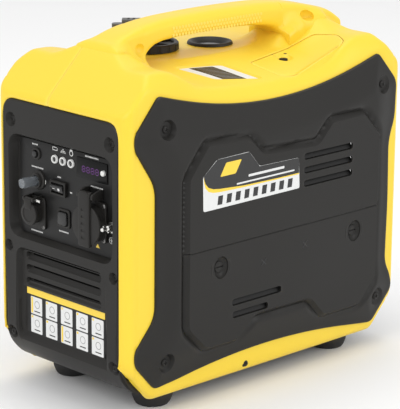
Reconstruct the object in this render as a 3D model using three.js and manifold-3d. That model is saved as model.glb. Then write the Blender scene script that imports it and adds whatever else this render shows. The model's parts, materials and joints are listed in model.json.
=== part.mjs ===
// Portable suitcase inverter generator: moulded shells, covers, controls, engine and alternator.
// Millimetres, +Z up. The origin is the middle of the footprint, at floor level.
// The control panel faces -Y, the service door is on +X and the starter grip on -X.
import * as THREE from "three";
import { mergeVertices } from "three/addons/utils/BufferGeometryUtils.js";
import Module from "manifold-3d";

const wasm = await Module();
wasm.setup();

// ---- driving dimensions -------------------------------------------------------------------
const GAP = 0.4; // clearance between neighbouring pieces
const WALL = 3; // moulded wall
const BODY_LENGTH = 480; // front panel face to rear panel face
const BODY_WIDTH = 236; // across the yellow shells
const CORNER_R = 15; // vertical corners of the shells
const FRAME_FACE = 123.5; // outer face of a side cover's frame, from the middle
const PANEL_FACE = 129.5; // outer face of a side cover's raised panel
const FOOT_HEIGHT = 20;
const PANEL_HALF = 105; // half width of the front and rear panels
const PANEL_TOP = 364;
const CHIN_TOP = 72; // where the front starts to run back under the body
const CHIN_FOOT = -188; // y where the chin meets the flat underside
const SLOPE_BASE = 372; // the 45 degree end slopes start here
const SHOULDER = 417; // top corners at both ends
const CROWN = 432; // body top under the handle's ends
const DECK = 405; // flat oval deck of the filler cap and gauge
const HANDLE_WIDTH = 46;
const HANDLE_TOP = 458.5;
const CAP_X = -53;
const CAP_Y = -50;
const CAP_R = 40;
const GAUGE_X = -27;
const GAUGE_Y = 34;
const GAUGE_R = 29;
const CRANK_Y = 20; // crankshaft axis, along X
const CRANK_Z = 132;
const PLUG_TILT = 0.62; // lean of the cylinder towards the rear, radians
const FOOT_X = 73.5;
const FOOT_Y = 157;

const FRONT = -BODY_LENGTH / 2;
const REAR = BODY_LENGTH / 2;
const SIDE = BODY_WIDTH / 2;

// ---- materials ----------------------------------------------------------------------------
const finish = (color, roughness, metalness) =>
  new THREE.MeshStandardMaterial({ color, roughness, metalness });
const yellowPlastic = finish(0xf6d21c, 0.38, 0);
const blackPlastic = finish(0x2c2b29, 0.55, 0);
const darkPlate = finish(0x171615, 0.5, 0);
const rubber = finish(0x1d1c1b, 0.85, 0);
const greyPlastic = finish(0x4b4a47, 0.5, 0);
const whitePlastic = finish(0xe9e9e6, 0.4, 0);
const clearPlastic = finish(0x9fb0bb, 0.2, 0);
const brightMetal = finish(0xc9c9c6, 0.25, 1);
const castAluminium = finish(0x9c9d9c, 0.5, 0.8);
const darkSteel = finish(0x5a5856, 0.5, 0.8);
const copper = finish(0xb06a3a, 0.4, 0.9);
const ceramic = finish(0xefece4, 0.3, 0);

// ---- solids -------------------------------------------------------------------------------
function solid(geometry) {
  let bare = geometry.clone();
  for (const name of Object.keys(bare.attributes)) {
    if (name !== "position") bare.deleteAttribute(name);
  }
  bare = mergeVertices(bare, 1e-4);
  const mesh = new wasm.Mesh({
    numProp: 3,
    vertProperties: new Float32Array(bare.attributes.position.array),
    triVerts: new Uint32Array(bare.index.array),
  });
  return new wasm.Manifold(mesh);
}

function meshOf(name, shape, material) {
  const out = shape.getMesh();
  const geometry = new THREE.BufferGeometry();
  const points = new Float32Array(out.vertProperties);
  geometry.setAttribute("position", new THREE.BufferAttribute(points, 3));
  geometry.setIndex(new THREE.BufferAttribute(new Uint32Array(out.triVerts), 1));
  geometry.computeVertexNormals();
  const mesh = new THREE.Mesh(geometry, material);
  mesh.name = name;
  return mesh;
}

function box(x0, x1, y0, y1, z0, z1) {
  const geometry = new THREE.BoxGeometry(x1 - x0, y1 - y0, z1 - z0);
  geometry.translate((x0 + x1) / 2, (y0 + y1) / 2, (z0 + z1) / 2);
  return solid(geometry);
}

// A closed outline pushed along an axis. The outline's two coordinates are the other two
// row axes in X, Y, Z order.
function prism(points, axis, from, to) {
  const shape = points instanceof THREE.Shape ? points : new THREE.Shape(points.map(([a, b]) =>
    new THREE.Vector2(a, b)));
  const geometry = new THREE.ExtrudeGeometry(shape, {
    depth: to - from, bevelEnabled: false, curveSegments: 6,
  });
  geometry.translate(0, 0, from);
  const place = new THREE.Matrix4();
  if (axis === "x") place.set(0, 0, 1, 0, 1, 0, 0, 0, 0, 1, 0, 0, 0, 0, 0, 1);
  if (axis === "y") place.set(1, 0, 0, 0, 0, 0, 1, 0, 0, 1, 0, 0, 0, 0, 0, 1);
  geometry.applyMatrix4(place);
  if (place.determinant() < 0) turnFaces(geometry);
  return solid(geometry);
}

function turnFaces(geometry) {
  const p = geometry.attributes.position;
  for (let i = 0; i < p.count; i += 3) {
    const [x, y, z] = [p.getX(i), p.getY(i), p.getZ(i)];
    p.setXYZ(i, p.getX(i + 1), p.getY(i + 1), p.getZ(i + 1));
    p.setXYZ(i + 1, x, y, z);
  }
}

const TURN = { x: [0, 0, -Math.PI / 2], y: [0, 0, 0], z: [Math.PI / 2, 0, 0] };

// A round bar along an axis, from one coordinate to the other, with a radius at each end.
function bar(axis, a, b, from, to, r0, r1 = r0, sides = 24) {
  const geometry = new THREE.CylinderGeometry(r1, r0, to - from, sides);
  geometry.rotateX(TURN[axis][0]).rotateZ(TURN[axis][2]);
  const middle = (from + to) / 2;
  if (axis === "x") geometry.translate(middle, a, b);
  if (axis === "y") geometry.translate(a, middle, b);
  if (axis === "z") geometry.translate(a, b, middle);
  return solid(geometry);
}

function roundedOutline(a0, a1, b0, b1, r) {
  const shape = new THREE.Shape();
  shape.moveTo(a0 + r, b0);
  shape.lineTo(a1 - r, b0);
  shape.absarc(a1 - r, b0 + r, r, -Math.PI / 2, 0);
  shape.lineTo(a1, b1 - r);
  shape.absarc(a1 - r, b1 - r, r, 0, Math.PI / 2);
  shape.lineTo(a0 + r, b1);
  shape.absarc(a0 + r, b1 - r, r, Math.PI / 2, Math.PI);
  shape.lineTo(a0, b0 + r);
  shape.absarc(a0 + r, b0 + r, r, Math.PI, Math.PI * 1.5);
  return shape;
}

const mirrorX = (shape) => shape.mirror([1, 0, 0]);
const smooth = (low, high, value) => THREE.MathUtils.smoothstep(value, low, high);
const blend = (a, b, t) => a + (b - a) * t;

// ---- body form ----------------------------------------------------------------------------
// The shells' top: a flat oval deck left of the middle, a fall to the right, low flanks at
// mid length and full shoulders at both ends.
const OVAL = { x: -40, y: 10, halfX: 65, halfY: 135 };

// Upper edge of a side cover at a given y.
const coverTop = (y) => 364.5 + 30 * Math.min(1.1, (Math.abs(y) / 187) ** 2);

function deckEdge(y) {
  const t = Math.min(1, Math.abs(y - OVAL.y) / OVAL.halfY);
  return OVAL.x + OVAL.halfX * Math.sqrt(1 - t * t);
}

function bodyTop(x, y) {
  const lip = coverTop(y) + 16;
  const edge = deckEdge(y);
  let middle = DECK;
  if (x > edge) middle = blend(DECK, lip, (x - edge) / (104 - edge));
  let end = SHOULDER + (CROWN - SHOULDER) * (1 - smooth(HANDLE_WIDTH / 2, 72, Math.abs(x)));
  if (x > 104) middle = blend(lip, coverTop(y), (x - 104) / (SIDE - 104));
  if (x < -98) middle = blend(DECK, coverTop(y), (-98 - x) / (SIDE - 98));
  if (Math.abs(x) > 106) end = blend(SHOULDER, coverTop(y) + 4, (Math.abs(x) - 106) / (SIDE - 106));
  return blend(middle, end, smooth(112, 172, Math.abs(y)));
}

// Everything under a height function, over a grid of stations.
function underSurface(height, xs, ys, floor) {
  const points = [];
  const faces = [];
  const at = (i, j, upper) => 2 * (i * ys.length + j) + upper;
  for (const x of xs) {
    for (const y of ys) points.push(x, y, floor, x, y, height(x, y));
  }
  const quad = (a, b, c, d) => faces.push(a, b, c, a, c, d);
  for (let i = 0; i + 1 < xs.length; i++) {
    for (let j = 0; j + 1 < ys.length; j++) {
      quad(at(i, j, 1), at(i + 1, j, 1), at(i + 1, j + 1, 1), at(i, j + 1, 1));
      quad(at(i, j, 0), at(i, j + 1, 0), at(i + 1, j + 1, 0), at(i + 1, j, 0));
    }
    const last = ys.length - 1;
    quad(at(i, 0, 0), at(i + 1, 0, 0), at(i + 1, 0, 1), at(i, 0, 1));
    quad(at(i + 1, last, 0), at(i, last, 0), at(i, last, 1), at(i + 1, last, 1));
  }
  for (let j = 0; j + 1 < ys.length; j++) {
    const end = xs.length - 1;
    quad(at(0, j + 1, 0), at(0, j, 0), at(0, j, 1), at(0, j + 1, 1));
    quad(at(end, j, 0), at(end, j + 1, 0), at(end, j + 1, 1), at(end, j, 1));
  }
  const geometry = new THREE.BufferGeometry();
  geometry.setAttribute("position", new THREE.BufferAttribute(new Float32Array(points), 3));
  geometry.setIndex(faces);
  return solid(geometry);
}

const stations = (limit, steps) =>
  Array.from({ length: steps + 1 }, (_, i) => -limit + (2 * limit * i) / steps);
const TOP_XS = [-124, -118, -98, -72, -48, -23, 0, 23, 48, 76, 104, 118, 124];

// The body's outer form, drawn in by a given distance on every side.
function bodyForm(inset) {
  const front = FRONT + inset;
  const low = FOOT_HEIGHT + inset;
  const foot = -CHIN_FOOT;
  const rise = CROWN + 8 - SLOPE_BASE;
  const side = [
    [CHIN_FOOT, low], [foot, low], [212 - inset, 33 + inset], [-front, CHIN_TOP],
    [-front, SLOPE_BASE - inset / 2], [-front - rise, SLOPE_BASE - inset / 2 + rise],
    [front + rise, SLOPE_BASE - inset / 2 + rise], [front, SLOPE_BASE - inset / 2],
    [front, CHIN_TOP], [-212 + inset, 33 + inset],
  ];
  const across = SIDE - inset;
  const plan = roundedOutline(-across, across, front, -front, CORNER_R - inset);
  const top = underSurface((x, y) => bodyTop(x, y) - inset, TOP_XS, stations(246, 26), 0);
  return prism(side, "x", -SIDE - 1, SIDE + 1).intersect(prism(plan, "z", 10, 450)).intersect(top);
}

const bodyOuter = bodyForm(0);
const bodyInner = bodyForm(WALL);

// ---- shells -------------------------------------------------------------------------------
const SIDE_OPENING = { y0: -150, y1: 178, z0: 66, z1: 326 };
const SEAM_X = -HANDLE_WIDTH / 2; // the shells part along the handle's left edge

function panelHole(front, back) {
  const hole = roundedOutline(-PANEL_HALF - GAP, PANEL_HALF + GAP, -60, PANEL_TOP + GAP, 20);
  return prism(hole, "y", front, back);
}

const POCKET = [[34, -88], [50, -20], [96, 6], [82, -64]]; // slanted label pocket in the top
const PLUG_COVER = [[57, 20], [37, 117], [48, 144], [73, 161], [97, 150], [105, 48], [101, 34]];
const PLUG_SCREW = { x: 60, y: 78 };

function grow(points, by) {
  const middle = points.reduce(([a, b], [x, y]) => [a + x / points.length, b + y / points.length],
    [0, 0]);
  return points.map(([x, y]) => {
    const [dx, dy] = [x - middle[0], y - middle[1]];
    const far = Math.hypot(dx, dy);
    return [x + (dx / far) * by, y + (dy / far) * by];
  });
}

function bothShells() {
  const { y0, y1, z0, z1 } = SIDE_OPENING;
  return bodyOuter
    .subtract(bodyInner)
    .subtract(panelHole(FRONT - 5, FRONT + 60))
    .subtract(panelHole(REAR - 60, REAR + 5))
    .subtract(box(-PANEL_HALF - GAP, PANEL_HALF + GAP, FRONT, REAR, 0, 40))
    .subtract(box(-SIDE - 5, SIDE + 5, y0, y1, z0, z1))
    .subtract(bar("z", CAP_X, CAP_Y, 380, 420, 27))
    .subtract(bar("z", GAUGE_X, GAUGE_Y, 380, 420, 21))
    .subtract(prism(grow(PLUG_COVER, 0.5), "z", 340, 430))
    .subtract(prism(POCKET, "z", 340, 430));
}

const shells = bothShells();
const leftShell = shells.intersect(box(-130, SEAM_X - GAP, -260, 260, 0, 470));
const rightHalf = shells.intersect(box(SEAM_X, 130, -260, 260, 0, 470));
const pocketWell = underSurface((x, y) => bodyTop(x, y) - 0.6, TOP_XS, stations(246, 26), 330)
  .subtract(underSurface((x, y) => bodyTop(x, y) - 9, TOP_XS, stations(246, 26), 320));
const pocketRing = prism(grow(POCKET, 2.5), "z", 340, 430).subtract(prism(POCKET, "z", 340, 430));
const pocketFloor = underSurface((x, y) => bodyTop(x, y) - 9, TOP_XS, stations(246, 26), 330)
  .subtract(underSurface((x, y) => bodyTop(x, y) - 11, TOP_XS, stations(246, 26), 320))
  .intersect(prism(grow(POCKET, 2.5), "z", 340, 430));
const rightShell = rightHalf.add(pocketWell.intersect(pocketRing)).add(pocketFloor);

// ---- carry handle -------------------------------------------------------------------------
// An arch along the middle: a short front pillar and a long rear root.
function handleOutline(drop) {
  const outline = new THREE.Shape();
  const top = HANDLE_TOP - drop;
  outline.moveTo(-176, 400);
  outline.lineTo(-174, CROWN - drop);
  outline.quadraticCurveTo(-130, top - 6, -60, top - 1);
  outline.quadraticCurveTo(0, top + 1, 60, top - 1);
  outline.quadraticCurveTo(150, top - 10, 206, CROWN + 2 - drop);
  outline.lineTo(208, 400);
  outline.lineTo(96, 400);
  outline.lineTo(94, 414);
  outline.quadraticCurveTo(84, 430, 50, 431.5);
  outline.quadraticCurveTo(-20, 434, -70, 432.5);
  outline.quadraticCurveTo(-110, 430, -124, 418);
  outline.lineTo(-128, 400);
  return outline;
}

const handleCore = prism(handleOutline(0), "x", -HANDLE_WIDTH / 2 + 6, HANDLE_WIDTH / 2 - 6);
const handleFlanks = prism(handleOutline(6), "x", -HANDLE_WIDTH / 2, HANDLE_WIDTH / 2);
const bodyRaised = bodyOuter.translate([0, 0, GAP]);
const endSlope = prism([
  [FRONT - 10, 300], [REAR + 10, 300], [REAR, SLOPE_BASE], [REAR - 60, CROWN],
  [REAR - 90, 480], [FRONT + 90, 480], [FRONT + 60, CROWN], [FRONT, SLOPE_BASE],
], "x", -60, 60);
const handle = handleCore.add(handleFlanks).intersect(endSlope).subtract(bodyRaised);

// ---- front and rear panels ----------------------------------------------------------------
const RECESS = { x: 93, z0: 195, z1: 321, depth: 11 }; // control recess
const LOUVRE = { x: 80, z0: 74, z1: 181, depth: 8 }; // intake and label recess below it

function chinOutline(inset) {
  return [
    [FRONT + inset, PANEL_TOP], [FRONT + inset, CHIN_TOP + inset / 3],
    [FRONT + 8 + inset, 52], [-212 + inset, 33 + inset / 2], [CHIN_FOOT + 12, FOOT_HEIGHT + inset],
  ];
}

function endPanel() {
  const outer = chinOutline(GAP);
  const inner = chinOutline(GAP + WALL).reverse();
  const skin = prism([...outer, ...inner], "x", -PANEL_HALF, PANEL_HALF);
  const face = roundedOutline(-PANEL_HALF, PANEL_HALF, -60, PANEL_TOP, 20);
  return skin.intersect(prism(face, "y", FRONT - 5, FRONT + 80));
}

function tray(x, z0, z1, depth, r) {
  const outer = prism(roundedOutline(-x - 2, x + 2, z0 - 2, z1 + 2, r), "y",
    FRONT + 1, FRONT + depth + 2.5);
  return outer.subtract(prism(roundedOutline(-x, x, z0, z1, r), "y", FRONT - 2, FRONT + depth));
}

const panelCuts = prism(roundedOutline(-RECESS.x, RECESS.x, RECESS.z0, RECESS.z1, 12), "y",
  FRONT - 2, FRONT + RECESS.depth)
  .add(prism(roundedOutline(-LOUVRE.x, LOUVRE.x, LOUVRE.z0, LOUVRE.z1, 10), "y",
    FRONT - 2, FRONT + LOUVRE.depth));
const SLAT_PITCH = 15;
const slatHeights = [170, 170 - SLAT_PITCH];
let frontPanel = endPanel()
  .add(tray(RECESS.x, RECESS.z0, RECESS.z1, RECESS.depth, 12))
  .add(tray(LOUVRE.x, LOUVRE.z0, LOUVRE.z1, LOUVRE.depth, 10))
  .subtract(panelCuts);
frontPanel = frontPanel.subtract(box(-74, 76, FRONT, FRONT + 20, 142, 176));
frontPanel = frontPanel.subtract(box(-80, 88, FRONT + 5, FRONT + 20, 203, 314));

const plateY = FRONT + RECESS.depth; // outer face of the control plate
let controlPlate = prism(roundedOutline(-82, 91, 199, 317.5, 4), "y", plateY - 2.6, plateY - 0.4);
let intakeGrille = prism(roundedOutline(-77, 78, 140, 178, 4), "y",
  FRONT + 4, FRONT + LOUVRE.depth - GAP);
for (const z of slatHeights) {
  intakeGrille = intakeGrille
    .subtract(prism(roundedOutline(-69, 67, z - 5, z + 3, 3.9), "y", FRONT, FRONT + 12));
}
intakeGrille = intakeGrille.subtract(box(-69, 67, FRONT, FRONT + 12, 142, 147));

// The rear panel mirrors the front one's outline, with outlet slots and the exhaust opening.
const EXHAUST = { x: -52, z: 118, r: 24 };
const OUTLET_TIP = REAR + 19.6; // the outlet pipe stands as proud as the breaker button in front
let rearPanel = endPanel().mirror([0, 1, 0]);
for (let row = 0; row < 7; row++) {
  const z = 196 + row * 18;
  rearPanel = rearPanel.subtract(prism(roundedOutline(-78, 78, z, z + 8, 3.9), "y", REAR - 8, REAR + 2));
}
rearPanel = rearPanel.subtract(bar("y", EXHAUST.x, EXHAUST.z, REAR - 10, REAR + 4, EXHAUST.r));
const arrestor = bar("y", EXHAUST.x, EXHAUST.z, REAR - 16, REAR - GAP, EXHAUST.r - 1)
  .subtract(bar("y", EXHAUST.x, EXHAUST.z, REAR - 18, REAR - 6, EXHAUST.r - 4))
  .add(bar("y", EXHAUST.x, EXHAUST.z, REAR - 8, OUTLET_TIP, 12))
  .subtract(bar("y", EXHAUST.x, EXHAUST.z, REAR - 10, OUTLET_TIP + 2, 9));

// ---- base tray and feet -------------------------------------------------------------------
const trayHalf = PANEL_HALF - 0.6;
const baseTray = box(-trayHalf, trayHalf, CHIN_FOOT + 14, -CHIN_FOOT - 14, FOOT_HEIGHT, 60)
  .subtract(box(-trayHalf + WALL, trayHalf - WALL, CHIN_FOOT + 18, -CHIN_FOOT - 18, 24, 70));

function foot(x, y) {
  const profile = [[0, 0], [19, 0], [23, 3], [25, 8], [25, FOOT_HEIGHT - GAP], [0, FOOT_HEIGHT - GAP]];
  const geometry = new THREE.LatheGeometry(profile.map(([r, h]) => new THREE.Vector2(r, h)), 24);
  geometry.rotateX(Math.PI / 2).translate(x, y, 0);
  return solid(geometry);
}

// ---- side covers and service door ---------------------------------------------------------
// Four ears reach for the corners; the edges between them draw in. Points are y, z.
const COVER_SHIFT = 10; // the cover sits this much towards the rear
function coverOutline() {
  const outline = new THREE.Shape();
  const at = (y, z) => [y + COVER_SHIFT, z];
  outline.moveTo(...at(-205, 288));
  outline.lineTo(...at(-235, 334));
  outline.lineTo(...at(-235, 352));
  outline.lineTo(...at(-200, 392));
  outline.quadraticCurveTo(...at(0, 334), ...at(180, 392));
  outline.lineTo(...at(216, 352));
  outline.lineTo(...at(216, 304));
  outline.lineTo(...at(203, 282));
  outline.lineTo(...at(203, 118));
  outline.lineTo(...at(218, 92));
  outline.lineTo(...at(218, 76));
  outline.lineTo(...at(180, 34));
  outline.quadraticCurveTo(...at(0, 68), ...at(-202, 40));
  outline.lineTo(...at(-235, 78));
  outline.lineTo(...at(-235, 96));
  outline.lineTo(...at(-205, 128));
  return outline;
}

const RAISED = [
  [-154, 198], [-154, 291], [-122, 328], [-44, 328], [-22, 306], [71, 306], [94, 328],
  [162, 328], [192, 294], [192, 198],
];
const DOOR = [
  [-154, 197], [-154, 101], [-121, 67], [-64, 67], [-31, 94], [62, 94], [88, 65],
  [158, 65], [192, 102], [192, 197],
];
const DOOR_SCREWS = [{ name: "door_screw_front", y: -96, z: 171 }, { name: "door_screw_rear", y: 142, z: 171 }];

function coverBlank() {
  const frame = prism(coverOutline(), "x", SIDE + GAP, FRAME_FACE);
  const raised = prism([...RAISED, ...DOOR.toReversed()], "x", SIDE + GAP, PANEL_FACE);
  return frame.add(raised);
}

function slots(rows, y0, y1, outer) {
  let cut = box(0, 1, 0, 1, 0, 1);
  for (const z of rows) {
    cut = cut.add(prism(roundedOutline(y0, y1, z - 4, z + 4, 3.9), "x", outer - 4, outer + 3));
  }
  return cut;
}

const sideOpening = (inset) => prism(grow(DOOR, -inset), "x", SIDE - 5, PANEL_FACE + 5);
const doorHole = prism([
  [-155, 197.5], [-155, 100.5], [-121.5, 66], [-63.5, 66], [-30.5, 93], [61.5, 93], [87.5, 64],
  [158.5, 64], [193, 101.5], [193, 197.5],
], "x", SIDE - 5, PANEL_FACE + 5);
const rightCover = coverBlank()
  .subtract(doorHole)
  .subtract(slots([283, 266, 249], 45, 137, PANEL_FACE))
  .subtract(prism(SIDE_INNER(), "x", SIDE - 1, PANEL_FACE - WALL));

function SIDE_INNER() {
  return [[-148, 204], [-148, 288], [-119, 320], [-46, 320], [-25, 298], [74, 298], [97, 320],
    [159, 320], [186, 290], [186, 204]];
}

let serviceDoor = prism(DOOR, "x", SIDE + GAP, PANEL_FACE)
  .subtract(prism([
    [-148, 190], [-148, 104], [-118, 73], [-66, 73], [-33, 100], [64, 100], [90, 71],
    [155, 71], [186, 105], [186, 190],
  ], "x", SIDE - 1, PANEL_FACE - WALL))
  .subtract(slots([122], -77, 9, PANEL_FACE))
  .subtract(slots([106], -77, -14, PANEL_FACE));
for (const { y, z } of DOOR_SCREWS) {
  serviceDoor = serviceDoor
    .add(bar("x", y, z, PANEL_FACE - 9.5, PANEL_FACE - 2, 13.5))
    .subtract(bar("x", y, z, PANEL_FACE - 7, PANEL_FACE + 1, 9, 12))
    .subtract(bar("x", y, z, PANEL_FACE - 12, PANEL_FACE, 4.5));
}
function quarterTurn(y, z) {
  return bar("x", y, z, PANEL_FACE - 6.6, PANEL_FACE - 3.5, 7.5)
    .add(bar("x", y, z, SIDE - 6, PANEL_FACE - 6, 4))
    .subtract(box(PANEL_FACE - 5, PANEL_FACE, y - 6, y + 6, z - 1, z + 1));
}

const GRIP = { y: -30, z: 232 }; // starter grip, in a dish of the left cover
const leftDish = bar("x", GRIP.y, GRIP.z, -PANEL_FACE - 2, -FRAME_FACE + 12, 34);
const leftCover = mirrorX(coverBlank())
  .subtract(mirrorX(prism(SIDE_INNER(), "x", SIDE - 1, PANEL_FACE - WALL)))
  .subtract(mirrorX(prism([
    [-148, 190], [-148, 104], [-118, 73], [-66, 73], [-33, 100], [64, 100], [90, 71],
    [155, 71], [186, 105], [186, 190],
  ], "x", SIDE - 1, PANEL_FACE - WALL)))
  .subtract(mirrorX(slots([283, 266, 249, 232, 215], 60, 160, PANEL_FACE)))
  .subtract(mirrorX(slots([122, 106], -40, 60, PANEL_FACE)))
  .subtract(leftDish)
  .add(bar("x", GRIP.y, GRIP.z, -PANEL_FACE + 1, -FRAME_FACE + 15, 36)
    .subtract(bar("x", GRIP.y, GRIP.z, -PANEL_FACE - 1, -FRAME_FACE + 12, 33, 33))
    .subtract(bar("x", GRIP.y, GRIP.z, -PANEL_FACE - 1, -FRAME_FACE + 25, 5)));
const recoilGrip = box(-128.5, -117, GRIP.y - 26, GRIP.y + 26, GRIP.z - 8, GRIP.z + 8)
  .add(bar("x", GRIP.y, GRIP.z, -118, -104, 4));

// ---- top pieces ---------------------------------------------------------------------------
const plugCover = underSurface((x, y) => bodyTop(x, y), TOP_XS, stations(246, 26), 330)
  .subtract(underSurface((x, y) => bodyTop(x, y) - WALL, TOP_XS, stations(246, 26), 320))
  .intersect(prism(PLUG_COVER, "z", 340, 430))
  .subtract(bar("z", PLUG_SCREW.x, PLUG_SCREW.y, 340, 430, 6));
const plugScrewTop = bodyTop(PLUG_SCREW.x, PLUG_SCREW.y);
const plugCoverScrew = bar("z", PLUG_SCREW.x, PLUG_SCREW.y, plugScrewTop - 12, plugScrewTop - 1.5, 5.2)
  .subtract(box(PLUG_SCREW.x - 6, PLUG_SCREW.x + 6, PLUG_SCREW.y - 1, PLUG_SCREW.y + 1,
    plugScrewTop - 3, plugScrewTop));

const fuelCap = bar("z", CAP_X, CAP_Y, DECK + GAP, DECK + 10, CAP_R, CAP_R - 2, 40)
  .subtract(bar("z", CAP_X, CAP_Y, DECK + 7, DECK + 12, CAP_R - 7, CAP_R - 6, 40))
  .add(bar("z", CAP_X, CAP_Y, DECK + 6, DECK + 26, 15, 13))
  .add(bar("z", CAP_X, CAP_Y, DECK - 8, DECK + 2, 25.5));
const LEVER_TURN = Math.PI * 1.25;
const leverArm = box(-11, 34, -8, 8, DECK + 26 + GAP, DECK + 38).add(box(30, 44, -7, 7,
  DECK + 26 + GAP, DECK + 31)).rotate([0, 0, THREE.MathUtils.radToDeg(LEVER_TURN)])
  .translate([CAP_X, CAP_Y, 0]);
const gaugeBezel = bar("z", GAUGE_X, GAUGE_Y, DECK + GAP, DECK + 4, GAUGE_R, GAUGE_R - 3, 40)
  .add(bar("z", GAUGE_X, GAUGE_Y, DECK - 9, DECK + 2, 20, 20, 40))
  .subtract(bar("z", GAUGE_X, GAUGE_Y, DECK - 3, DECK + 8, 17, 18, 40));
const gaugeLens = bar("z", GAUGE_X, GAUGE_Y, DECK - 3 + GAP, DECK - 0.5, 16.5, 16.5, 32);

// ---- controls -----------------------------------------------------------------------------
const face = plateY - 2.6; // front of the control plate
const onPlate = (x, z, r, out, into = 6, sides = 24) => bar("y", x, z, face - out, face + into, r, r, sides);
const holeFor = (x, z, r) => bar("y", x, z, face - 4, face + 8, r);

const RESET = [-50.5, 301.5];
const BREAKER = [-46.6, 269.5];
const LAMP_XS = [-16.5, -1.75, 13];
const LAMP_Z = 300.9;
const SWITCH = { x: -8.6, z: 266.5 };
const METER_BUTTON = [72, 300.4];
const GROUND = [84.5, 237.5];
const resetButton = onPlate(...RESET, 4, 5, 4);
const breakerRing = onPlate(...BREAKER, 8.5, 5, -GAP)
  .subtract(bar("y", ...BREAKER, face - 8, face + 2, 6.4));
const breakerButton = onPlate(...BREAKER, 6, 28, 8);
const lamps = LAMP_XS.map((x) => onPlate(x, LAMP_Z, 5, 2.4, 3));
const switchBezel = box(SWITCH.x - 14, SWITCH.x + 14, face - 4, face - GAP, SWITCH.z - 9, SWITCH.z + 9)
  .subtract(box(SWITCH.x - 11.5, SWITCH.x + 11.5, face - 10, face + 2, SWITCH.z - 6.5, SWITCH.z + 6.5));
const rocker = prism([[-6.6, 3.6], [-4.6, -4], [0, -6], [5, -4], [5, 4], [0, 6], [-4, 4.7]]
  .map(([y, z]) => [face + y, SWITCH.z + z]), "x", SWITCH.x - 11, SWITCH.x + 11);
const dcButton = prism(roundedOutline(-9, 8, 222.5, 239.5, 4), "y", face - 4, face + 5);
const meterFrame = prism(roundedOutline(23.5, 78, 287.5, 312, 2), "y", face - 1.6, face - GAP)
  .subtract(bar("y", ...METER_BUTTON, face - 5, face + 2, 3.8));
const meterButton = onPlate(...METER_BUTTON, 3.3, 4, 3);
const groundStud = onPlate(...GROUND, 2.5, 16, 8);
const groundNut = bar("y", ...GROUND, face - 10, face - 3, 5, 5, 6)
  .subtract(bar("y", ...GROUND, face - 14, face, 2.8));

// Household socket with a sprung lid hinged along its top edge.
const SOCKET = { x: 56.4, z: 238, half: 21.6, r: 24.5 };
const socketBase = prism(roundedOutline(SOCKET.x - SOCKET.half, SOCKET.x + SOCKET.half,
  SOCKET.z - 25, SOCKET.z + 25, 4), "y", face - 4, face - GAP)
  .add(bar("y", SOCKET.x, SOCKET.z, face - 13, face - 1, 21.5, 21.5, 36))
  .add(bar("y", SOCKET.x, SOCKET.z, face - 2, face + 26, 19, 19, 36))
  .subtract(bar("y", SOCKET.x, SOCKET.z, face - 16, face + 4, 18, 18, 36))
  .subtract(bar("y", SOCKET.x - 9.5, SOCKET.z, face - 2, face + 20, 2.5, 2.5, 12))
  .subtract(bar("y", SOCKET.x + 9.5, SOCKET.z, face - 2, face + 20, 2.5, 2.5, 12));
const LID_HINGE_Z = SOCKET.z + 36;
const socketLid = bar("y", SOCKET.x, SOCKET.z - 1, face - 19, face - 13 - GAP, SOCKET.r, SOCKET.r, 36)
  .add(box(SOCKET.x - 10, SOCKET.x + 10, face - 19, face - 13 - GAP, SOCKET.z - 26, LID_HINGE_Z + 2))
  .add(bar("x", face - 15.5, LID_HINGE_Z, SOCKET.x - 10, SOCKET.x + 10, 3.5, 3.5, 16));

// Direct current socket, with a cap that swings down.
const DC = { x: -50, z: 229 };
const dcSocket = prism(roundedOutline(DC.x - 17, DC.x + 17, DC.z - 20, DC.z + 20, 5), "y",
  face - 3, face - GAP)
  .add(bar("y", DC.x, DC.z, face - 10, face + 14, 12.5))
  .subtract(bar("y", DC.x, DC.z, face - 12, face + 8, 9.5));
const dcCap = bar("y", DC.x, DC.z, face - 15.5, face - 10 - GAP, 14, 14, 28)
  .add(box(DC.x - 6, DC.x + 6, face - 15.5, face - 10 - GAP, DC.z + 8, DC.z + 18))
  .add(bar("x", face - 13, DC.z + 18, DC.x - 6, DC.x + 6, 2.5, 2.5, 16));

controlPlate = controlPlate
  .subtract(holeFor(...RESET, 4.4)).subtract(holeFor(...BREAKER, 6.4))
  .subtract(holeFor(...METER_BUTTON, 3.8)).subtract(holeFor(...GROUND, 2.9))
  .subtract(holeFor(SOCKET.x, SOCKET.z, 19.6)).subtract(holeFor(DC.x, DC.z, 13))
  .subtract(box(SWITCH.x - 12, SWITCH.x + 12, face - 4, face + 4, SWITCH.z - 7, SWITCH.z + 7))
  .subtract(box(-9.6, 8.6, face - 4, face + 4, 221.9, 240.1));
for (const x of LAMP_XS) controlPlate = controlPlate.subtract(holeFor(x, LAMP_Z, 5.4));

// ---- engine, alternator and services --------------------------------------------------------
const crankcase = box(-18, 62, -42, 84, 66, 188)
  .subtract(bar("x", CRANK_Y, CRANK_Z, -10, 54, 44, 44, 28))
  .subtract(bar("x", CRANK_Y, CRANK_Z, -30, 0, 10.5))
  .subtract(bar("x", 66, 84, 50, 66, 8.4));
const lean = (shape) => shape.rotate([-THREE.MathUtils.radToDeg(PLUG_TILT), 0, 0])
  .translate([22, CRANK_Y + 18, CRANK_Z]);
let cylinder = box(-26, 26, -26, 26, 62, 128);
for (let fin = 0; fin < 6; fin++) {
  const z = 72 + fin * 9;
  cylinder = cylinder.add(box(-38, 38, -36, 36, z, z + 3));
}
cylinder = lean(cylinder.subtract(bar("z", 0, 0, 100, 140, 7.4)))
  .subtract(box(-30, 80, -60, 100, 60, 188 + GAP));
const sparkPlug = lean(bar("z", 0, 0, 108, 131, 5).add(bar("z", 0, 0, 128 + GAP, 136, 9, 9, 6))
  .add(bar("z", 0, 0, 134, 158, 6, 5)));
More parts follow.
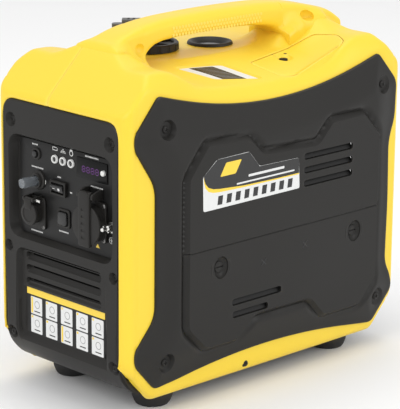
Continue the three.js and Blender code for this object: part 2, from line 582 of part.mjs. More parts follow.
const crankshaft = bar("x", CRANK_Y, CRANK_Z, -92, 6, 9)
  .add(bar("x", CRANK_Y, CRANK_Z, 4, 12, 34))
  .add(bar("x", CRANK_Y + 20, CRANK_Z, 10, 34, 8));
const stator = bar("x", CRANK_Y, CRANK_Z, -40, -18 - GAP, 47, 47, 30)
  .subtract(bar("x", CRANK_Y, CRANK_Z, -50, -10, 16));
const rotor = bar("x", CRANK_Y, CRANK_Z, -52, -26, 58, 58, 36)
  .subtract(bar("x", CRANK_Y, CRANK_Z, -46, -20, 50, 50, 36))
  .subtract(bar("x", CRANK_Y, CRANK_Z, -60, -20, 9.5));
let fan = bar("x", CRANK_Y, CRANK_Z, -58, -52 - GAP, 62, 62, 36);
for (let blade = 0; blade < 12; blade++) {
  fan = fan.add(box(-72, -57, 36, 61, -1.5, 1.5).rotate([blade * 30, 0, 0])
    .translate([0, CRANK_Y, CRANK_Z]));
}
fan = fan.subtract(bar("x", CRANK_Y, CRANK_Z, -80, -40, 9.5));
let recoilHousing = bar("x", CRANK_Y, CRANK_Z, -108, -76, 66, 72, 32)
  .subtract(bar("x", CRANK_Y, CRANK_Z, -104, -70, 62, 68, 32));
for (let hole = 0; hole < 8; hole++) {
  recoilHousing = recoilHousing.subtract(bar("x", 46, 0, -112, -100, 8, 8, 12)
    .rotate([hole * 45, 0, 0]).translate([0, CRANK_Y, CRANK_Z]));
}
for (const [dy, dz] of [[-51, -51], [-51, 51], [51, -51], [51, 51]]) {
  const leg = bar("x", CRANK_Y + dy, CRANK_Z + dz, -84, -18 - GAP, 5, 5, 12);
  recoilHousing = recoilHousing.add(leg);
}
const recoilPulley = bar("x", CRANK_Y, CRANK_Z, -103.6, -94, 36, 36, 30);
const oilCap = bar("x", 66, 84, 52, 63, 8).add(bar("x", 66, 84, 62 + GAP, 74, 13, 12, 12));
const fuelTank = prism(roundedOutline(-96, 92, -158, 62, 16), "z", 278, 360)
  .subtract(prism(roundedOutline(-93, 89, -155, 59, 13), "z", 281, 357))
  .add(bar("z", CAP_X, CAP_Y, 356, DECK - 9, 22))
  .subtract(bar("z", CAP_X, CAP_Y, 340, DECK + 5, 19));
let inverter = box(-74, 74, -196, -150, 66, 172);
for (let fin = 0; fin < 14; fin++) {
  const x = -70 + fin * 10.4;
  inverter = inverter.add(box(x, x + 3, -151, -136, 70, 168));
}
const airFilter = prism(roundedOutline(24, 104, -126, -64, 8), "z", 150, 250);
const carburettor = box(30, 62, -63, -43, 176, 210).add(bar("y", 46, 200, -63.6, -38, 12));
const muffler = prism(roundedOutline(-92, 60, 66, 210, 22), "y", 140, 206)
  .add(bar("y", EXHAUST.x, EXHAUST.z, 205, REAR - 17, 12));
const mountAt = (y) => box(-14, 58, y - 12, y + 12, 24 + GAP, 66 - GAP);

// ---- assembly -----------------------------------------------------------------------------
const generator = new THREE.Group();
const pieces = [
  ["left_shell", leftShell, yellowPlastic],
  ["right_shell", rightShell, yellowPlastic],
  ["carry_handle", handle, yellowPlastic],
  ["front_panel", frontPanel, blackPlastic],
  ["control_plate", controlPlate, darkPlate],
  ["intake_grille", intakeGrille, blackPlastic],
  ["rear_panel", rearPanel, blackPlastic],
  ["spark_arrestor", arrestor, darkSteel],
  ["base_tray", baseTray, blackPlastic],
  ["right_cover", rightCover, blackPlastic],
  ["left_cover", leftCover, blackPlastic],
  ["service_door", serviceDoor, blackPlastic],
  ["plug_cover", plugCover, yellowPlastic],
  ["plug_cover_screw", plugCoverScrew, blackPlastic],
  ["fuel_cap", fuelCap, blackPlastic],
  ["vent_lever", leverArm, greyPlastic],
  ["fuel_gauge", gaugeBezel, blackPlastic],
  ["gauge_lens", gaugeLens, clearPlastic],
  ["reset_button", resetButton, blackPlastic],
  ["breaker_ring", breakerRing, blackPlastic],
  ["breaker_button", breakerButton, clearPlastic],
  ["switch_bezel", switchBezel, blackPlastic],
  ["economy_switch", rocker, blackPlastic],
  ["dc_breaker_button", dcButton, blackPlastic],
  ["voltmeter", meterFrame, darkPlate],
  ["meter_button", meterButton, whitePlastic],
  ["ground_stud", groundStud, brightMetal],
  ["ground_nut", groundNut, brightMetal],
  ["ac_socket", socketBase, blackPlastic],
  ["socket_lid", socketLid, blackPlastic],
  ["dc_socket", dcSocket, blackPlastic],
  ["dc_cap", dcCap, blackPlastic],
  ["recoil_grip", recoilGrip, blackPlastic],
  ["crankcase", crankcase, castAluminium],
  ["cylinder", cylinder, castAluminium],
  ["spark_plug", sparkPlug, ceramic],
  ["crankshaft", crankshaft, darkSteel],
  ["alternator_stator", stator, copper],
  ["alternator_rotor", rotor, darkSteel],
  ["cooling_fan", fan, greyPlastic],
  ["recoil_housing", recoilHousing, darkSteel],
  ["recoil_pulley", recoilPulley, greyPlastic],
  ["oil_cap", oilCap, greyPlastic],
  ["fuel_tank", fuelTank, blackPlastic],
  ["inverter_module", inverter, castAluminium],
  ["air_filter_box", airFilter, blackPlastic],
  ["carburettor", carburettor, castAluminium],
  ["muffler", muffler, darkSteel],
  ["engine_mount_front", mountAt(-28), rubber],
  ["engine_mount_rear", mountAt(70), rubber],
];
lamps.forEach((lamp, i) => pieces.push([`lamp_${i + 1}`, lamp, whitePlastic]));
for (const { name, y, z } of DOOR_SCREWS) pieces.push([name, quarterTurn(y, z), blackPlastic]);
[["front_left", -1, -1], ["front_right", 1, -1], ["rear_left", -1, 1], ["rear_right", 1, 1]]
  .forEach(([name, sx, sy]) => pieces.push([`foot_${name}`, foot(sx * FOOT_X, sy * FOOT_Y), rubber]));
for (const [name, shape, material] of pieces) generator.add(meshOf(name, shape, material));

export default generator;
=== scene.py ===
import json
import math

import bmesh
import bpy
import numpy as np
from mathutils import Matrix, Vector
from mathutils.geometry import delaunay_2d_cdt


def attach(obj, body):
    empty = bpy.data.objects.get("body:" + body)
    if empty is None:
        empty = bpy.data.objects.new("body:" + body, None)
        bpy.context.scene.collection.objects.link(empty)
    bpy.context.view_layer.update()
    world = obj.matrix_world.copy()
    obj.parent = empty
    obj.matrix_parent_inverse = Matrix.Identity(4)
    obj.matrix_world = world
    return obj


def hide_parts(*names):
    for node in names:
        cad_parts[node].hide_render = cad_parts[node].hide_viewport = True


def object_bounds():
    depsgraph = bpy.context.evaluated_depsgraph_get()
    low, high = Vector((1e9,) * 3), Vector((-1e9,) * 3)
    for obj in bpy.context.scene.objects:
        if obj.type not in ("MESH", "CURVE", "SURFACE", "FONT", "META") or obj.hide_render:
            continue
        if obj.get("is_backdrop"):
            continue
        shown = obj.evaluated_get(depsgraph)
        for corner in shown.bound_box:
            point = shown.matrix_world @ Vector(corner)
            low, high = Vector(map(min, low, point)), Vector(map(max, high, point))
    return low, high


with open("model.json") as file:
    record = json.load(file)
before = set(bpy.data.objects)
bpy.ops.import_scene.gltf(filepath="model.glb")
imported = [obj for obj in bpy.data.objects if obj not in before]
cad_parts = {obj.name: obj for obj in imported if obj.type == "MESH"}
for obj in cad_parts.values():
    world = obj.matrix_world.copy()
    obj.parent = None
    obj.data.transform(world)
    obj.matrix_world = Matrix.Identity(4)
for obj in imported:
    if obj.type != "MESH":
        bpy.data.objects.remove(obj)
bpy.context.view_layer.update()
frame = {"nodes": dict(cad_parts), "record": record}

# ---- camera --------------------------------------------------------------------------------
# A long lens a little above the handle, turned about 46 degrees round from the control panel.
def placed(name, data):
    """A new object in the scene from its data."""
    thing = bpy.data.objects.new(name, data)
    bpy.context.scene.collection.objects.link(thing)
    return thing


camera_data = bpy.data.cameras.new("camera")
camera_data.sensor_width = 36
camera_data.lens = 185.5
camera_data.clip_end = 50
camera = placed("camera", camera_data)
look = Vector((-0.69184622, 0.67178358, -0.26468024)).normalized()
level = look.cross(Vector((0, 0, 1))).normalized()
roll = math.radians(0.5108)
upright = level.cross(look)
across = level * math.cos(roll) + upright * math.sin(roll)
upward = upright * math.cos(roll) - level * math.sin(roll)
camera.matrix_world = Matrix.Translation((1.84668, -1.80011, 0.91323)) @ Matrix(
    (across, upward, -look)).transposed().to_4x4()
bpy.context.scene.camera = camera

# ---- floor and lights ----------------------------------------------------------------------
# A white paper sweep and three large soft boxes, as in a small product studio.
floor_mesh = bpy.data.meshes.new("floor")
floor_mesh.from_pydata([(-9, -9, 0), (9, -9, 0), (9, 9, 0), (-9, 9, 0)], [], [(0, 1, 2, 3)])
floor = placed("floor", floor_mesh)
paper = bpy.data.materials.new("white_paper")
paper.use_nodes = True
paper.node_tree.nodes["Principled BSDF"].inputs["Base Color"].default_value = (0.98, 0.98, 0.98, 1)
paper.node_tree.nodes["Principled BSDF"].inputs["Roughness"].default_value = 0.9
floor_mesh.materials.append(paper)
floor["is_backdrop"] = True

studio = bpy.data.worlds.new("studio")
studio.use_nodes = True
studio.node_tree.nodes["Background"].inputs["Color"].default_value = (1, 1, 1, 1)
studio.node_tree.nodes["Background"].inputs["Strength"].default_value = 0.81
bpy.context.scene.world = studio
bpy.context.scene.view_settings.view_transform = "Standard"
for name, place, width, power in (
        ("key_box", (0.4, -2.6, 1.9), 1.6, 22),
        ("side_box", (2.9, 0.9, 1.7), 1.5, 24),
        ("top_box", (-0.4, 0.2, 2.8), 1.8, 15)):
    lamp_data = bpy.data.lights.new(name, "AREA")
    lamp_data.size = width
    lamp_data.energy = power
    lamp = placed(name, lamp_data)
    lamp.location = place
    lamp.rotation_mode = "QUATERNION"
    lamp.rotation_quaternion = (Vector(place) - Vector((0, 0, 0.2))).to_track_quat("Z", "Y")

# ---- shared finishes -----------------------------------------------------------------------
# Moulded plastics carry a fine spark-eroded grain, slight colour drift and lighter edges, part wear
# and part painted highlight.


def shader_group(name, inputs, outputs):
    group = bpy.data.node_groups.new(name, "ShaderNodeTree")
    for socket, kind, value in inputs:
        made = group.interface.new_socket(socket, in_out="INPUT", socket_type=kind)
        made.default_value = value
    for socket, kind in outputs:
        group.interface.new_socket(socket, in_out="OUTPUT", socket_type=kind)
    return group, group.nodes.new("NodeGroupInput"), group.nodes.new("NodeGroupOutput")


def add_node(tree, kind, values=None):
    node = tree.nodes.new(kind)
    for attribute, value in (values or {}).items():
        if attribute in node.inputs:
            node.inputs[attribute].default_value = value
        else:
            setattr(node, attribute, value)
    return node


grain, grain_in, grain_out = shader_group(
    "moulded_grain",
    (("Base", "NodeSocketColor", (0.5, 0.5, 0.5, 1)),
     ("Wear And Sheen", "NodeSocketColor", (0.6, 0.6, 0.6, 1)), ("Grain Scale", "NodeSocketFloat", 900.0),
     ("Grain Depth", "NodeSocketFloat", 0.3), ("Roughness", "NodeSocketFloat", 0.45),
     ("Drift", "NodeSocketFloat", 0.05), ("Dust", "NodeSocketFloat", 0.1)),
    (("Color", "NodeSocketColor"), ("Roughness", "NodeSocketFloat"), ("Height", "NodeSocketFloat")))
link = grain.links.new
where = add_node(grain, "ShaderNodeTexCoord")
shape = add_node(grain, "ShaderNodeNewGeometry")
fine = add_node(grain, "ShaderNodeTexNoise", {"Detail": 3.0, "Roughness": 0.6})
link(where.outputs["Object"], fine.inputs["Vector"])
link(grain_in.outputs["Grain Scale"], fine.inputs["Scale"])
broad = add_node(grain, "ShaderNodeTexNoise", {"Scale": 7.0, "Detail": 4.0})
link(where.outputs["Object"], broad.inputs["Vector"])
edge = add_node(grain, "ShaderNodeMapRange", {"From Min": 0.53, "From Max": 0.62})
link(shape.outputs["Pointiness"], edge.inputs["Value"])
upturned = add_node(grain, "ShaderNodeSeparateXYZ")
link(shape.outputs["Normal"], upturned.inputs["Vector"])
settle = add_node(grain, "ShaderNodeMapRange", {"From Min": 0.55, "From Max": 1.0})
link(upturned.outputs["Z"], settle.inputs["Value"])
patch = add_node(grain, "ShaderNodeMath", {"operation": "MULTIPLY"})
link(settle.outputs["Result"], patch.inputs[0])
link(broad.outputs["Fac"], patch.inputs[1])
dusty = add_node(grain, "ShaderNodeMath", {"operation": "MULTIPLY"})
link(patch.outputs["Value"], dusty.inputs[0])
link(grain_in.outputs["Dust"], dusty.inputs[1])
drift = add_node(grain, "ShaderNodeMath", {"operation": "MULTIPLY_ADD"})
drift.inputs[2].default_value = 1.0
centred = add_node(grain, "ShaderNodeMath", {"operation": "SUBTRACT"})
centred.inputs[1].default_value = 0.5
link(broad.outputs["Fac"], centred.inputs[0])
link(centred.outputs["Value"], drift.inputs[0])
link(grain_in.outputs["Drift"], drift.inputs[1])
tone = add_node(grain, "ShaderNodeVectorMath", {"operation": "SCALE"})
link(grain_in.outputs["Base"], tone.inputs[0])
link(drift.outputs["Value"], tone.inputs["Scale"])
# Convex edges are lightened toward the second colour: partly wear, partly a painted edge highlight.
wear_and_sheen_mix = add_node(grain, "ShaderNodeMix", {"data_type": "RGBA"})
half_edge = add_node(grain, "ShaderNodeMath", {"operation": "MULTIPLY"})
half_edge.inputs[1].default_value = 0.45
link(edge.outputs["Result"], half_edge.inputs[0])
link(half_edge.outputs["Value"], wear_and_sheen_mix.inputs[0])
link(tone.outputs["Vector"], wear_and_sheen_mix.inputs[6])
link(grain_in.outputs["Wear And Sheen"], wear_and_sheen_mix.inputs[7])
powder = add_node(grain, "ShaderNodeMix", {"data_type": "RGBA"})
powder.inputs[7].default_value = (0.62, 0.6, 0.56, 1)
link(dusty.outputs["Value"], powder.inputs[0])
link(wear_and_sheen_mix.outputs[2], powder.inputs[6])
link(powder.outputs[2], grain_out.inputs["Color"])
rough_fine = add_node(grain, "ShaderNodeMath", {"operation": "MULTIPLY_ADD"})
rough_fine.inputs[1].default_value = 0.18
link(centred.outputs["Value"], rough_fine.inputs[0])
link(grain_in.outputs["Roughness"], rough_fine.inputs[2])
rough_dust = add_node(grain, "ShaderNodeMath", {"operation": "MULTIPLY_ADD"})
rough_dust.inputs[1].default_value = 0.6
link(dusty.outputs["Value"], rough_dust.inputs[0])
link(rough_fine.outputs["Value"], rough_dust.inputs[2])
link(rough_dust.outputs["Value"], grain_out.inputs["Roughness"])
height = add_node(grain, "ShaderNodeMath", {"operation": "MULTIPLY"})
link(fine.outputs["Fac"], height.inputs[0])
link(grain_in.outputs["Grain Depth"], height.inputs[1])
link(height.outputs["Value"], grain_out.inputs["Height"])


def moulded(name, base, wear_and_sheen_color, roughness, grain_scale=900.0, grain_depth=0.3, drift_by=0.06,
            dust=0.08, bump=0.25, metallic=0.0, coat=0.0, specular=0.5, transmission=0.0):
    material = bpy.data.materials.new(name)
    material.use_nodes = True
    tree = material.node_tree
    shader = tree.nodes["Principled BSDF"]
    shader.inputs["Metallic"].default_value = metallic
    shader.inputs["Coat Weight"].default_value = coat
    shader.inputs["Specular IOR Level"].default_value = specular
    shader.inputs["Transmission Weight"].default_value = transmission
    group = tree.nodes.new("ShaderNodeGroup")
    group.node_tree = grain
    group.inputs["Base"].default_value = (*base, 1)
    # The second colour lightens convex edges: partly wear, partly a painted edge highlight.
    group.inputs["Wear And Sheen"].default_value = (*wear_and_sheen_color, 1)
    group.inputs["Grain Scale"].default_value = grain_scale
    group.inputs["Grain Depth"].default_value = grain_depth
    group.inputs["Roughness"].default_value = roughness
    group.inputs["Drift"].default_value = drift_by
    group.inputs["Dust"].default_value = dust
    relief_node = tree.nodes.new("ShaderNodeBump")
    relief_node.inputs["Strength"].default_value = bump
    relief_node.inputs["Distance"].default_value = 0.0004
    tree.links.new(group.outputs["Color"], shader.inputs["Base Color"])
    tree.links.new(group.outputs["Roughness"], shader.inputs["Roughness"])
    tree.links.new(group.outputs["Height"], relief_node.inputs["Height"])
    tree.links.new(relief_node.outputs["Normal"], shader.inputs["Normal"])
    return material


yellow_shell = moulded("yellow_moulding", (0.92, 0.655, 0.045), (1.0, 0.80, 0.20), 0.38, dust=0.03,
                        specular=0.4)
black_moulding = moulded("black_moulding", (0.016, 0.015, 0.0135), (0.055, 0.053, 0.05), 0.44,
                         grain_depth=0.45, dust=0.03, specular=0.26)
dark_plate_finish = moulded("dark_plate", (0.008, 0.0078, 0.0074), (0.02, 0.02, 0.02), 0.36,
                            dust=0.02, specular=0.25)
rubber_finish = moulded("foot_rubber", (0.016, 0.016, 0.016), (0.06, 0.06, 0.06), 0.75,
                        grain_scale=400, grain_depth=0.6, dust=0.2)
grey_moulding = moulded("grey_moulding", (0.07, 0.068, 0.064), (0.16, 0.16, 0.15), 0.42)
white_moulding = moulded("white_moulding", (0.78, 0.78, 0.76), (0.9, 0.9, 0.9), 0.3, dust=0.02)
clear_moulding = moulded("smoked_clear", (0.34, 0.37, 0.40), (0.6, 0.6, 0.6), 0.12, dust=0.0,
                         grain_depth=0.05, transmission=0.6)
bright_metal = moulded("nickel_plate", (0.78, 0.77, 0.74), (0.9, 0.9, 0.88), 0.24, metallic=1.0,
                       dust=0.0, grain_scale=300)
cast_metal = moulded("cast_aluminium", (0.46, 0.46, 0.45), (0.66, 0.66, 0.65), 0.5, metallic=1.0,
                     grain_scale=500, grain_depth=0.8, drift_by=0.2)
dark_metal = moulded("dark_steel", (0.17, 0.165, 0.16), (0.4, 0.4, 0.4), 0.45, metallic=1.0,
                     drift_by=0.3)
copper_wire = moulded("copper_winding", (0.55, 0.24, 0.1), (0.8, 0.45, 0.25), 0.35, metallic=1.0)
ceramic_finish = moulded("glazed_ceramic", (0.82, 0.8, 0.76), (0.9, 0.9, 0.88), 0.15, dust=0.0)
SLOT_FINISH = {
    "yellow_shell": yellow_shell, "black_plastic": black_moulding, "dark_plate": dark_plate_finish,
    "foot_rubber": rubber_finish, "grey_plastic": grey_moulding, "white_plastic": white_moulding,
    "clear_plastic": clear_moulding, "bright_metal": bright_metal, "cast_aluminium": cast_metal,
    "dark_steel": dark_metal, "copper_winding": copper_wire, "plug_ceramic": ceramic_finish}
for part in frame["record"]["subparts"]:
    node = frame["nodes"][part["node"]]
    for place in node.material_slots:
        place.link = "OBJECT"
        place.material = SLOT_FINISH[part["material_slot"]]
BLACK = black_moulding, "frame_body", "black_plastic"
YELLOW = yellow_shell, "frame_body", "yellow_shell"
PLATE = dark_plate_finish, "frame_body", "dark_plate"

# ---- yellow shells -------------------------------------------------------------------------
# Two injection-moulded halves, 2.8 mm thick, that meet along the left edge of the handle and are
# screwed together from the sides. The skin is laid out on a grid of girth and length.
HALF_WIDTH, HALF_LENGTH = 0.118, 0.240
DECK_TOP, END_TOP, WEB_TOP = 0.405, 0.417, 0.430
SHELL_WALL = 0.0028


DECK_EDGE = np.array([(-0.125, -0.040), (-0.110, -0.018), (-0.089, 0.005), (-0.060, 0.0200),
                      (-0.028, 0.0290), (0.010, 0.0265), (0.040, 0.0165), (0.065, 0.0050),
                      (0.100, -0.0080), (0.130, -0.0180), (0.145, -0.040)])


def cover_edge(y):
    """Height of the side cover's upper edge."""
    return 0.3645 + 0.030 * np.minimum(1.1, (np.abs(y) / 0.187) ** 2)


def ramp(low, high, value):
    """A soft step from 0 at low to 1 at high."""
    t = np.clip((value - low) / (high - low), 0, 1)
    return t * t * (3 - 2 * t)


def body_top(x, y):
    """Height of the shells' top: sunk oval deck, fall to the lips, raised ends and handle roots."""
    x, y = np.broadcast_arrays(np.asarray(x, float), np.asarray(y, float))
    lip = cover_edge(y) + 0.016
    oval = np.interp(y, DECK_EDGE[:, 0], DECK_EDGE[:, 1])
    fall = np.clip((x - oval) / (0.106 - oval), 0, 1)
    middle = DECK_TOP + (lip - DECK_TOP) * fall
    middle = np.where(x > 0.106, lip + (cover_edge(y) - lip) * (x - 0.106) / 0.012, middle)
    middle = np.where(x < -0.096, DECK_TOP + (cover_edge(y) - DECK_TOP) * (-0.096 - x) / 0.022,
                      middle)
    width = np.abs(x)
    end = END_TOP + 0.015 * (1 - ramp(0.023, 0.072, width))
    end = np.where(width > 0.104, END_TOP + (cover_edge(y) + 0.004 - END_TOP) * (width
            - 0.104) / 0.014, end)
    top = middle + (end - middle) * ramp(0.108, 0.176, np.abs(y))
    web = ramp(0.080, 0.145, y) * (1 - ramp(0.022, 0.036, width))
    top = np.maximum(top, middle + (WEB_TOP - middle) * web)
    return np.minimum(top, 0.372 + (HALF_LENGTH - np.abs(y)) + 0.0 * x)


def soften(field, sigma, axis):
    """Blurs a grid of positions along one axis, which rounds its folds."""
    reach = int(3 * sigma) + 1
    weights = np.exp(-0.5 * (np.arange(-reach, reach + 1) / sigma) ** 2)
    weights /= weights.sum()
    pad = [(0, 0)] * field.ndim
    pad[axis] = (reach, reach)
    wide = np.pad(field, pad, mode="reflect", reflect_type="odd")
    return sum(w * np.take(wide, np.arange(k, k + field.shape[axis]), axis=axis)
               for k, w in enumerate(weights))


GIRTH = np.concatenate([np.linspace(-0.500, -0.118, 150, endpoint=False),
                        np.linspace(-0.118, 0.118, 237), np.linspace(0.118, 0.500, 151)[1:]])
LIP = 0.018
LENGTH = np.linspace(-HALF_LENGTH - LIP, HALF_LENGTH + LIP, 517)


def shell_grid():
    """Positions over girth (0 on the centre line, 118 mm at the side edge) and length."""
    rows = []
    for run in LENGTH:
        y = min(HALF_LENGTH, max(-HALF_LENGTH, run))
        beyond = abs(run) - abs(y)
        turn = max(0, abs(y) - (HALF_LENGTH - 0.015))
        half = HALF_WIDTH - 0.0127 * (1 - math.sqrt(max(0, 1 - (turn / 0.015) ** 2)))
        low = 0.0205 + max(0, abs(y) - 0.195) * 1.1
        low = min(low, 0.070)
        foot = 0.104
        edge_z = float(body_top(half, y)) if abs(y) < 0.2399 else 0.364
        x = np.clip(GIRTH, -HALF_WIDTH, HALF_WIDTH) / HALF_WIDTH * half
        z = body_top(x, y)
        down = (np.abs(GIRTH) - 0.118) / 0.382
        side = down > 0
        drop = edge_z - (low + 0.004)
        path = down * (drop + (half - foot))
        z = np.where(side, edge_z - np.minimum(path, drop), z)
        x = np.where(side & (path > drop), np.sign(GIRTH) * (half - (path - drop)), x)
        z = np.where(side & (path > drop), low, z)
        # past each end the skin turns round a lip and runs back in beside the end panel
        inner_x, inner_z = np.clip(x, -0.0852, 0.0852), np.minimum(z, 0.3442)
        reach = np.hypot(x - inner_x, z - inner_z) + 1e-9
        pull = min(1.0, beyond / 0.009) * np.clip(1 - 0.0200 / reach, 0, 1)
        x, z = x + (inner_x - x) * pull, z + (inner_z - z) * pull
        y = math.copysign(abs(y) - max(0.0, beyond - 0.009), y)
        rows.append(np.stack([x, np.full_like(x, y), z], axis=-1))
    grid = np.array(rows)
    grid = soften(grid, 3.2, 1)
    return soften(grid, 3.0, 0)


SKIN = shell_grid()


def skin_point(a, y, inset=0.0):
    """A point on the outer skin for girth a and length y, or under it by inset."""
    i = np.interp(y, LENGTH, np.arange(len(LENGTH)))
    j = np.interp(a, GIRTH, np.arange(len(GIRTH)))

    def sample(i, j):
        i0 = np.clip(np.floor(i).astype(int), 0, len(LENGTH) - 2)
        j0 = np.clip(np.floor(j).astype(int), 0, len(GIRTH) - 2)
        u, v = (i - i0)[..., None], (j - j0)[..., None]
        return ((1 - u) * (1 - v) * SKIN[i0, j0] + u * (1 - v) * SKIN[i0 + 1, j0]
                + (1 - u) * v * SKIN[i0, j0 + 1] + u * v * SKIN[i0 + 1, j0 + 1])

    point = sample(i, j)
    if np.any(np.asarray(inset) != 0):
        along = sample(np.clip(i + 0.5, 0, len(LENGTH) - 1), j) - sample(np.maximum(i - 0.5, 0), j)
        over = (sample(i, np.clip(j + 0.5, 0, len(GIRTH) - 1)) - sample(i, np.maximum(j - 0.5, 0)))
        normal = np.cross(over, along)
        normal /= np.linalg.norm(normal, axis=-1, keepdims=True) + 1e-12
        point = point - normal * np.asarray(inset)[..., None]
    return point


def from_build(name, build):
    """A bare object from a finished bmesh."""
    mesh = bpy.data.meshes.new(name)
    build.to_mesh(mesh)
    build.free()
    return placed(name, mesh)


def new_object(name, vertices, faces, material, body, slot, smooth=35):
    """A finished piece from its points and faces, with doubles merged and normals outwards."""
    mesh = bpy.data.meshes.new(name)
    mesh.from_pydata([tuple(v) for v in np.asarray(vertices)], [], faces)
    mesh.validate()
    build = bmesh.new()
    build.from_mesh(mesh)
    bmesh.ops.remove_doubles(build, verts=build.verts, dist=1e-6)
    bmesh.ops.recalc_face_normals(build, faces=build.faces)
    build.to_mesh(mesh)
    build.free()
    return dress(placed(name, mesh), material, body, slot, smooth)


def dress(thing, material, body, slot, smooth=35):
    """Gives a piece its finish, shading and body."""
    thing.data.materials.clear()
    thing.data.materials.append(material)
    thing.data.shade_smooth()
    thing.data.set_sharp_from_angle(angle=math.radians(smooth))
    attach(thing, body)
    return thing


def bake(thing):
    """Turns a piece's modifiers into plain mesh."""
    graph = bpy.context.evaluated_depsgraph_get()
    done = bpy.data.meshes.new_from_object(thing.evaluated_get(graph))
    old = thing.data
    thing.modifiers.clear()
    thing.data = done
    bpy.data.meshes.remove(old)
    return thing


def cut(thing, *cutters, operation="DIFFERENCE"):
    """Cuts, or joins, bare objects into a piece and removes them."""
    for cutter in cutters:
        step = thing.modifiers.new("cut", "BOOLEAN")
        step.operation = operation
        step.solver = "EXACT"
        step.object = cutter
        bake(thing)
        bpy.data.objects.remove(cutter)
    return thing


def rounded(points, radius, steps=5):
    """Rounds the corners of a closed outline."""
    points = [np.array(p, float) for p in points]
    radii = radius if isinstance(radius, (list, tuple)) else [radius] * len(points)
    out = []
    for k, p in enumerate(points):
        a, b = points[k - 1] - p, points[(k + 1) % len(points)] - p
        la, lb = np.linalg.norm(a), np.linalg.norm(b)
        r = min(radii[k], 0.48 * la, 0.48 * lb)
        if r <= 0:
            out.append(tuple(p))
            continue
        p0, p1 = p + a / la * r, p + b / lb * r
        for s in range(steps + 1):
            t = s / steps
            out.append(tuple((1 - t) ** 2 * p0 + 2 * t * (1 - t) * p + t * t * p1))
    return out


def slab(name, outline, axis, low, high, bevel=0.0, bevel_steps=3):
    """A closed outline pushed along an axis, with rounded rims, as a bare object."""
    build = bmesh.new()
    place = {"x": lambda a, b, h: (h, a, b), "y": lambda a, b, h: (a, h, b),
             "z": lambda a, b, h: (a, b, h)}[axis]
    ring = [build.verts.new(place(a, b, low)) for a, b in outline]
    base = build.faces.new(ring)
    grown = bmesh.ops.extrude_face_region(build, geom=[base])
    lifted = [v for v in grown["geom"] if isinstance(v, bmesh.types.BMVert)]
    shift = Vector(place(0, 0, high - low))
    for v in lifted:
        v.co += shift
    bmesh.ops.recalc_face_normals(build, faces=build.faces)
    thing = from_build(name, build)
    if bevel:
        step = thing.modifiers.new("rim", "BEVEL")
        step.width = bevel
        step.segments = bevel_steps
        step.limit_method = "ANGLE"
        step.angle_limit = math.radians(50)
        step.use_clamp_overlap = True
        bake(thing)
    return thing


def rounded_box(a0, a1, b0, b1, radius, steps=6):
    return rounded([(a0, b0), (a1, b0), (a1, b1), (a0, b1)], radius, steps)


def circle(a, b, radius, count=32):
    return [(a + radius * math.cos(2 * math.pi * k / count),
             b + radius * math.sin(2 * math.pi * k / count)) for k in range(count)]


def inside(points, outline):
    """Which of an array of 2-D points lie inside a closed outline."""
    x, y = points[:, 0], points[:, 1]
    result = np.zeros(len(points), bool)
    outline = np.asarray(outline)
    for (ax, ay), (bx, by) in zip(outline, np.roll(outline, -1, axis=0)):
        if ay == by:
            continue
        crosses = (ay > y) != (by > y)
        result ^= crosses & (x < (bx - ax) * (y - ay) / (by - ay) + ax)
    return result


def depth_into(points, outline):
    """Distance from the outline, positive inside it."""
    points, outline = np.asarray(points, float), np.asarray(outline, float)
    best = np.full(len(points), 1e9)
    for a, b in zip(outline, np.roll(outline, -1, axis=0)):
        d = b - a
        t = np.clip(((points - a) @ d) / max(d @ d, 1e-18), 0, 1)
        best = np.minimum(best, np.linalg.norm(points - a - t[:, None] * d, axis=1))
    return np.where(inside(points, outline), best, -best)


def panel_net(outline, features, spacing, holes=()):
    """Triangles over a flat outline, with every feature line as a row of edges."""
    verts, edges = [], []
    for loop in [outline, *features, *holes]:
        start = len(verts)
        verts += [tuple(p) for p in loop]
        edges += [(start + k, start + (k + 1) % len(loop)) for k in range(len(loop))]
    low, high = np.min(outline, axis=0), np.max(outline, axis=0)
    a, b = np.meshgrid(np.arange(low[0], high[0], spacing),
                       np.arange(low[1], high[1], spacing * 0.87))
    a = a + (np.arange(len(a)) % 2)[:, None] * spacing / 2
    field = np.stack([a.ravel(), b.ravel()], axis=1)
    keep = depth_into(field, outline) > spacing * 0.4
    for loop in [*features, *holes]:
        keep &= np.abs(depth_into(field, loop)) > spacing * 0.4
    verts += [tuple(p) for p in field[keep]]
    points, _, faces, *_ = delaunay_2d_cdt([Vector(v) for v in verts], edges, [], 0, 1e-7)
    points = np.array([tuple(p) for p in points])
    faces = [f for f in faces if len(f) == 3]
    middle = np.array([points[list(f)].mean(axis=0) for f in faces])
    good = inside(middle, outline)
    for hole in holes:
        good &= ~inside(middle, hole)
    return points, [tuple(f) for f, g in zip(faces, good) if g]


def walled(name, outer, inner, faces, material, body, slot, smooth=35):
    """A closed wall between two matching skins."""
    count = len(outer)
    directed = {}
    for face in faces:
        for a, b in zip(face, face[1:] + face[:1]):
            directed[(a, b)] = True
    rims = [(a, b) for a, b in directed if (b, a) not in directed]
    solid_faces = list(faces) + [tuple(v + count for v in reversed(f)) for f in faces]
    solid_faces += [(b, a, a + count, b + count) for a, b in rims]
    return new_object(name, np.concatenate([outer, inner]), solid_faces, material, body, slot,
                      smooth)


def offset_outline(outline, distance):
    """An outline moved outwards by a distance, or inwards if it is negative."""
    outline = np.asarray(outline, float)
    area = 0.5 * np.sum(outline[:, 0] * np.roll(outline[:, 1], -1)
                        - outline[:, 1] * np.roll(outline[:, 0], -1))
    turn = 1 if area > 0 else -1
    before, after = np.roll(outline, 1, axis=0), np.roll(outline, -1, axis=0)
    e1, e2 = outline - before, after - outline
    e1 /= np.linalg.norm(e1, axis=1, keepdims=True) + 1e-12
    e2 /= np.linalg.norm(e2, axis=1, keepdims=True) + 1e-12
    n1 = np.stack([e1[:, 1], -e1[:, 0]], 1) * turn
    n2 = np.stack([e2[:, 1], -e2[:, 0]], 1) * turn
    mid = n1 + n2
    mid /= np.maximum(0.5, (mid * n1).sum(1, keepdims=True))
    return outline + mid * distance


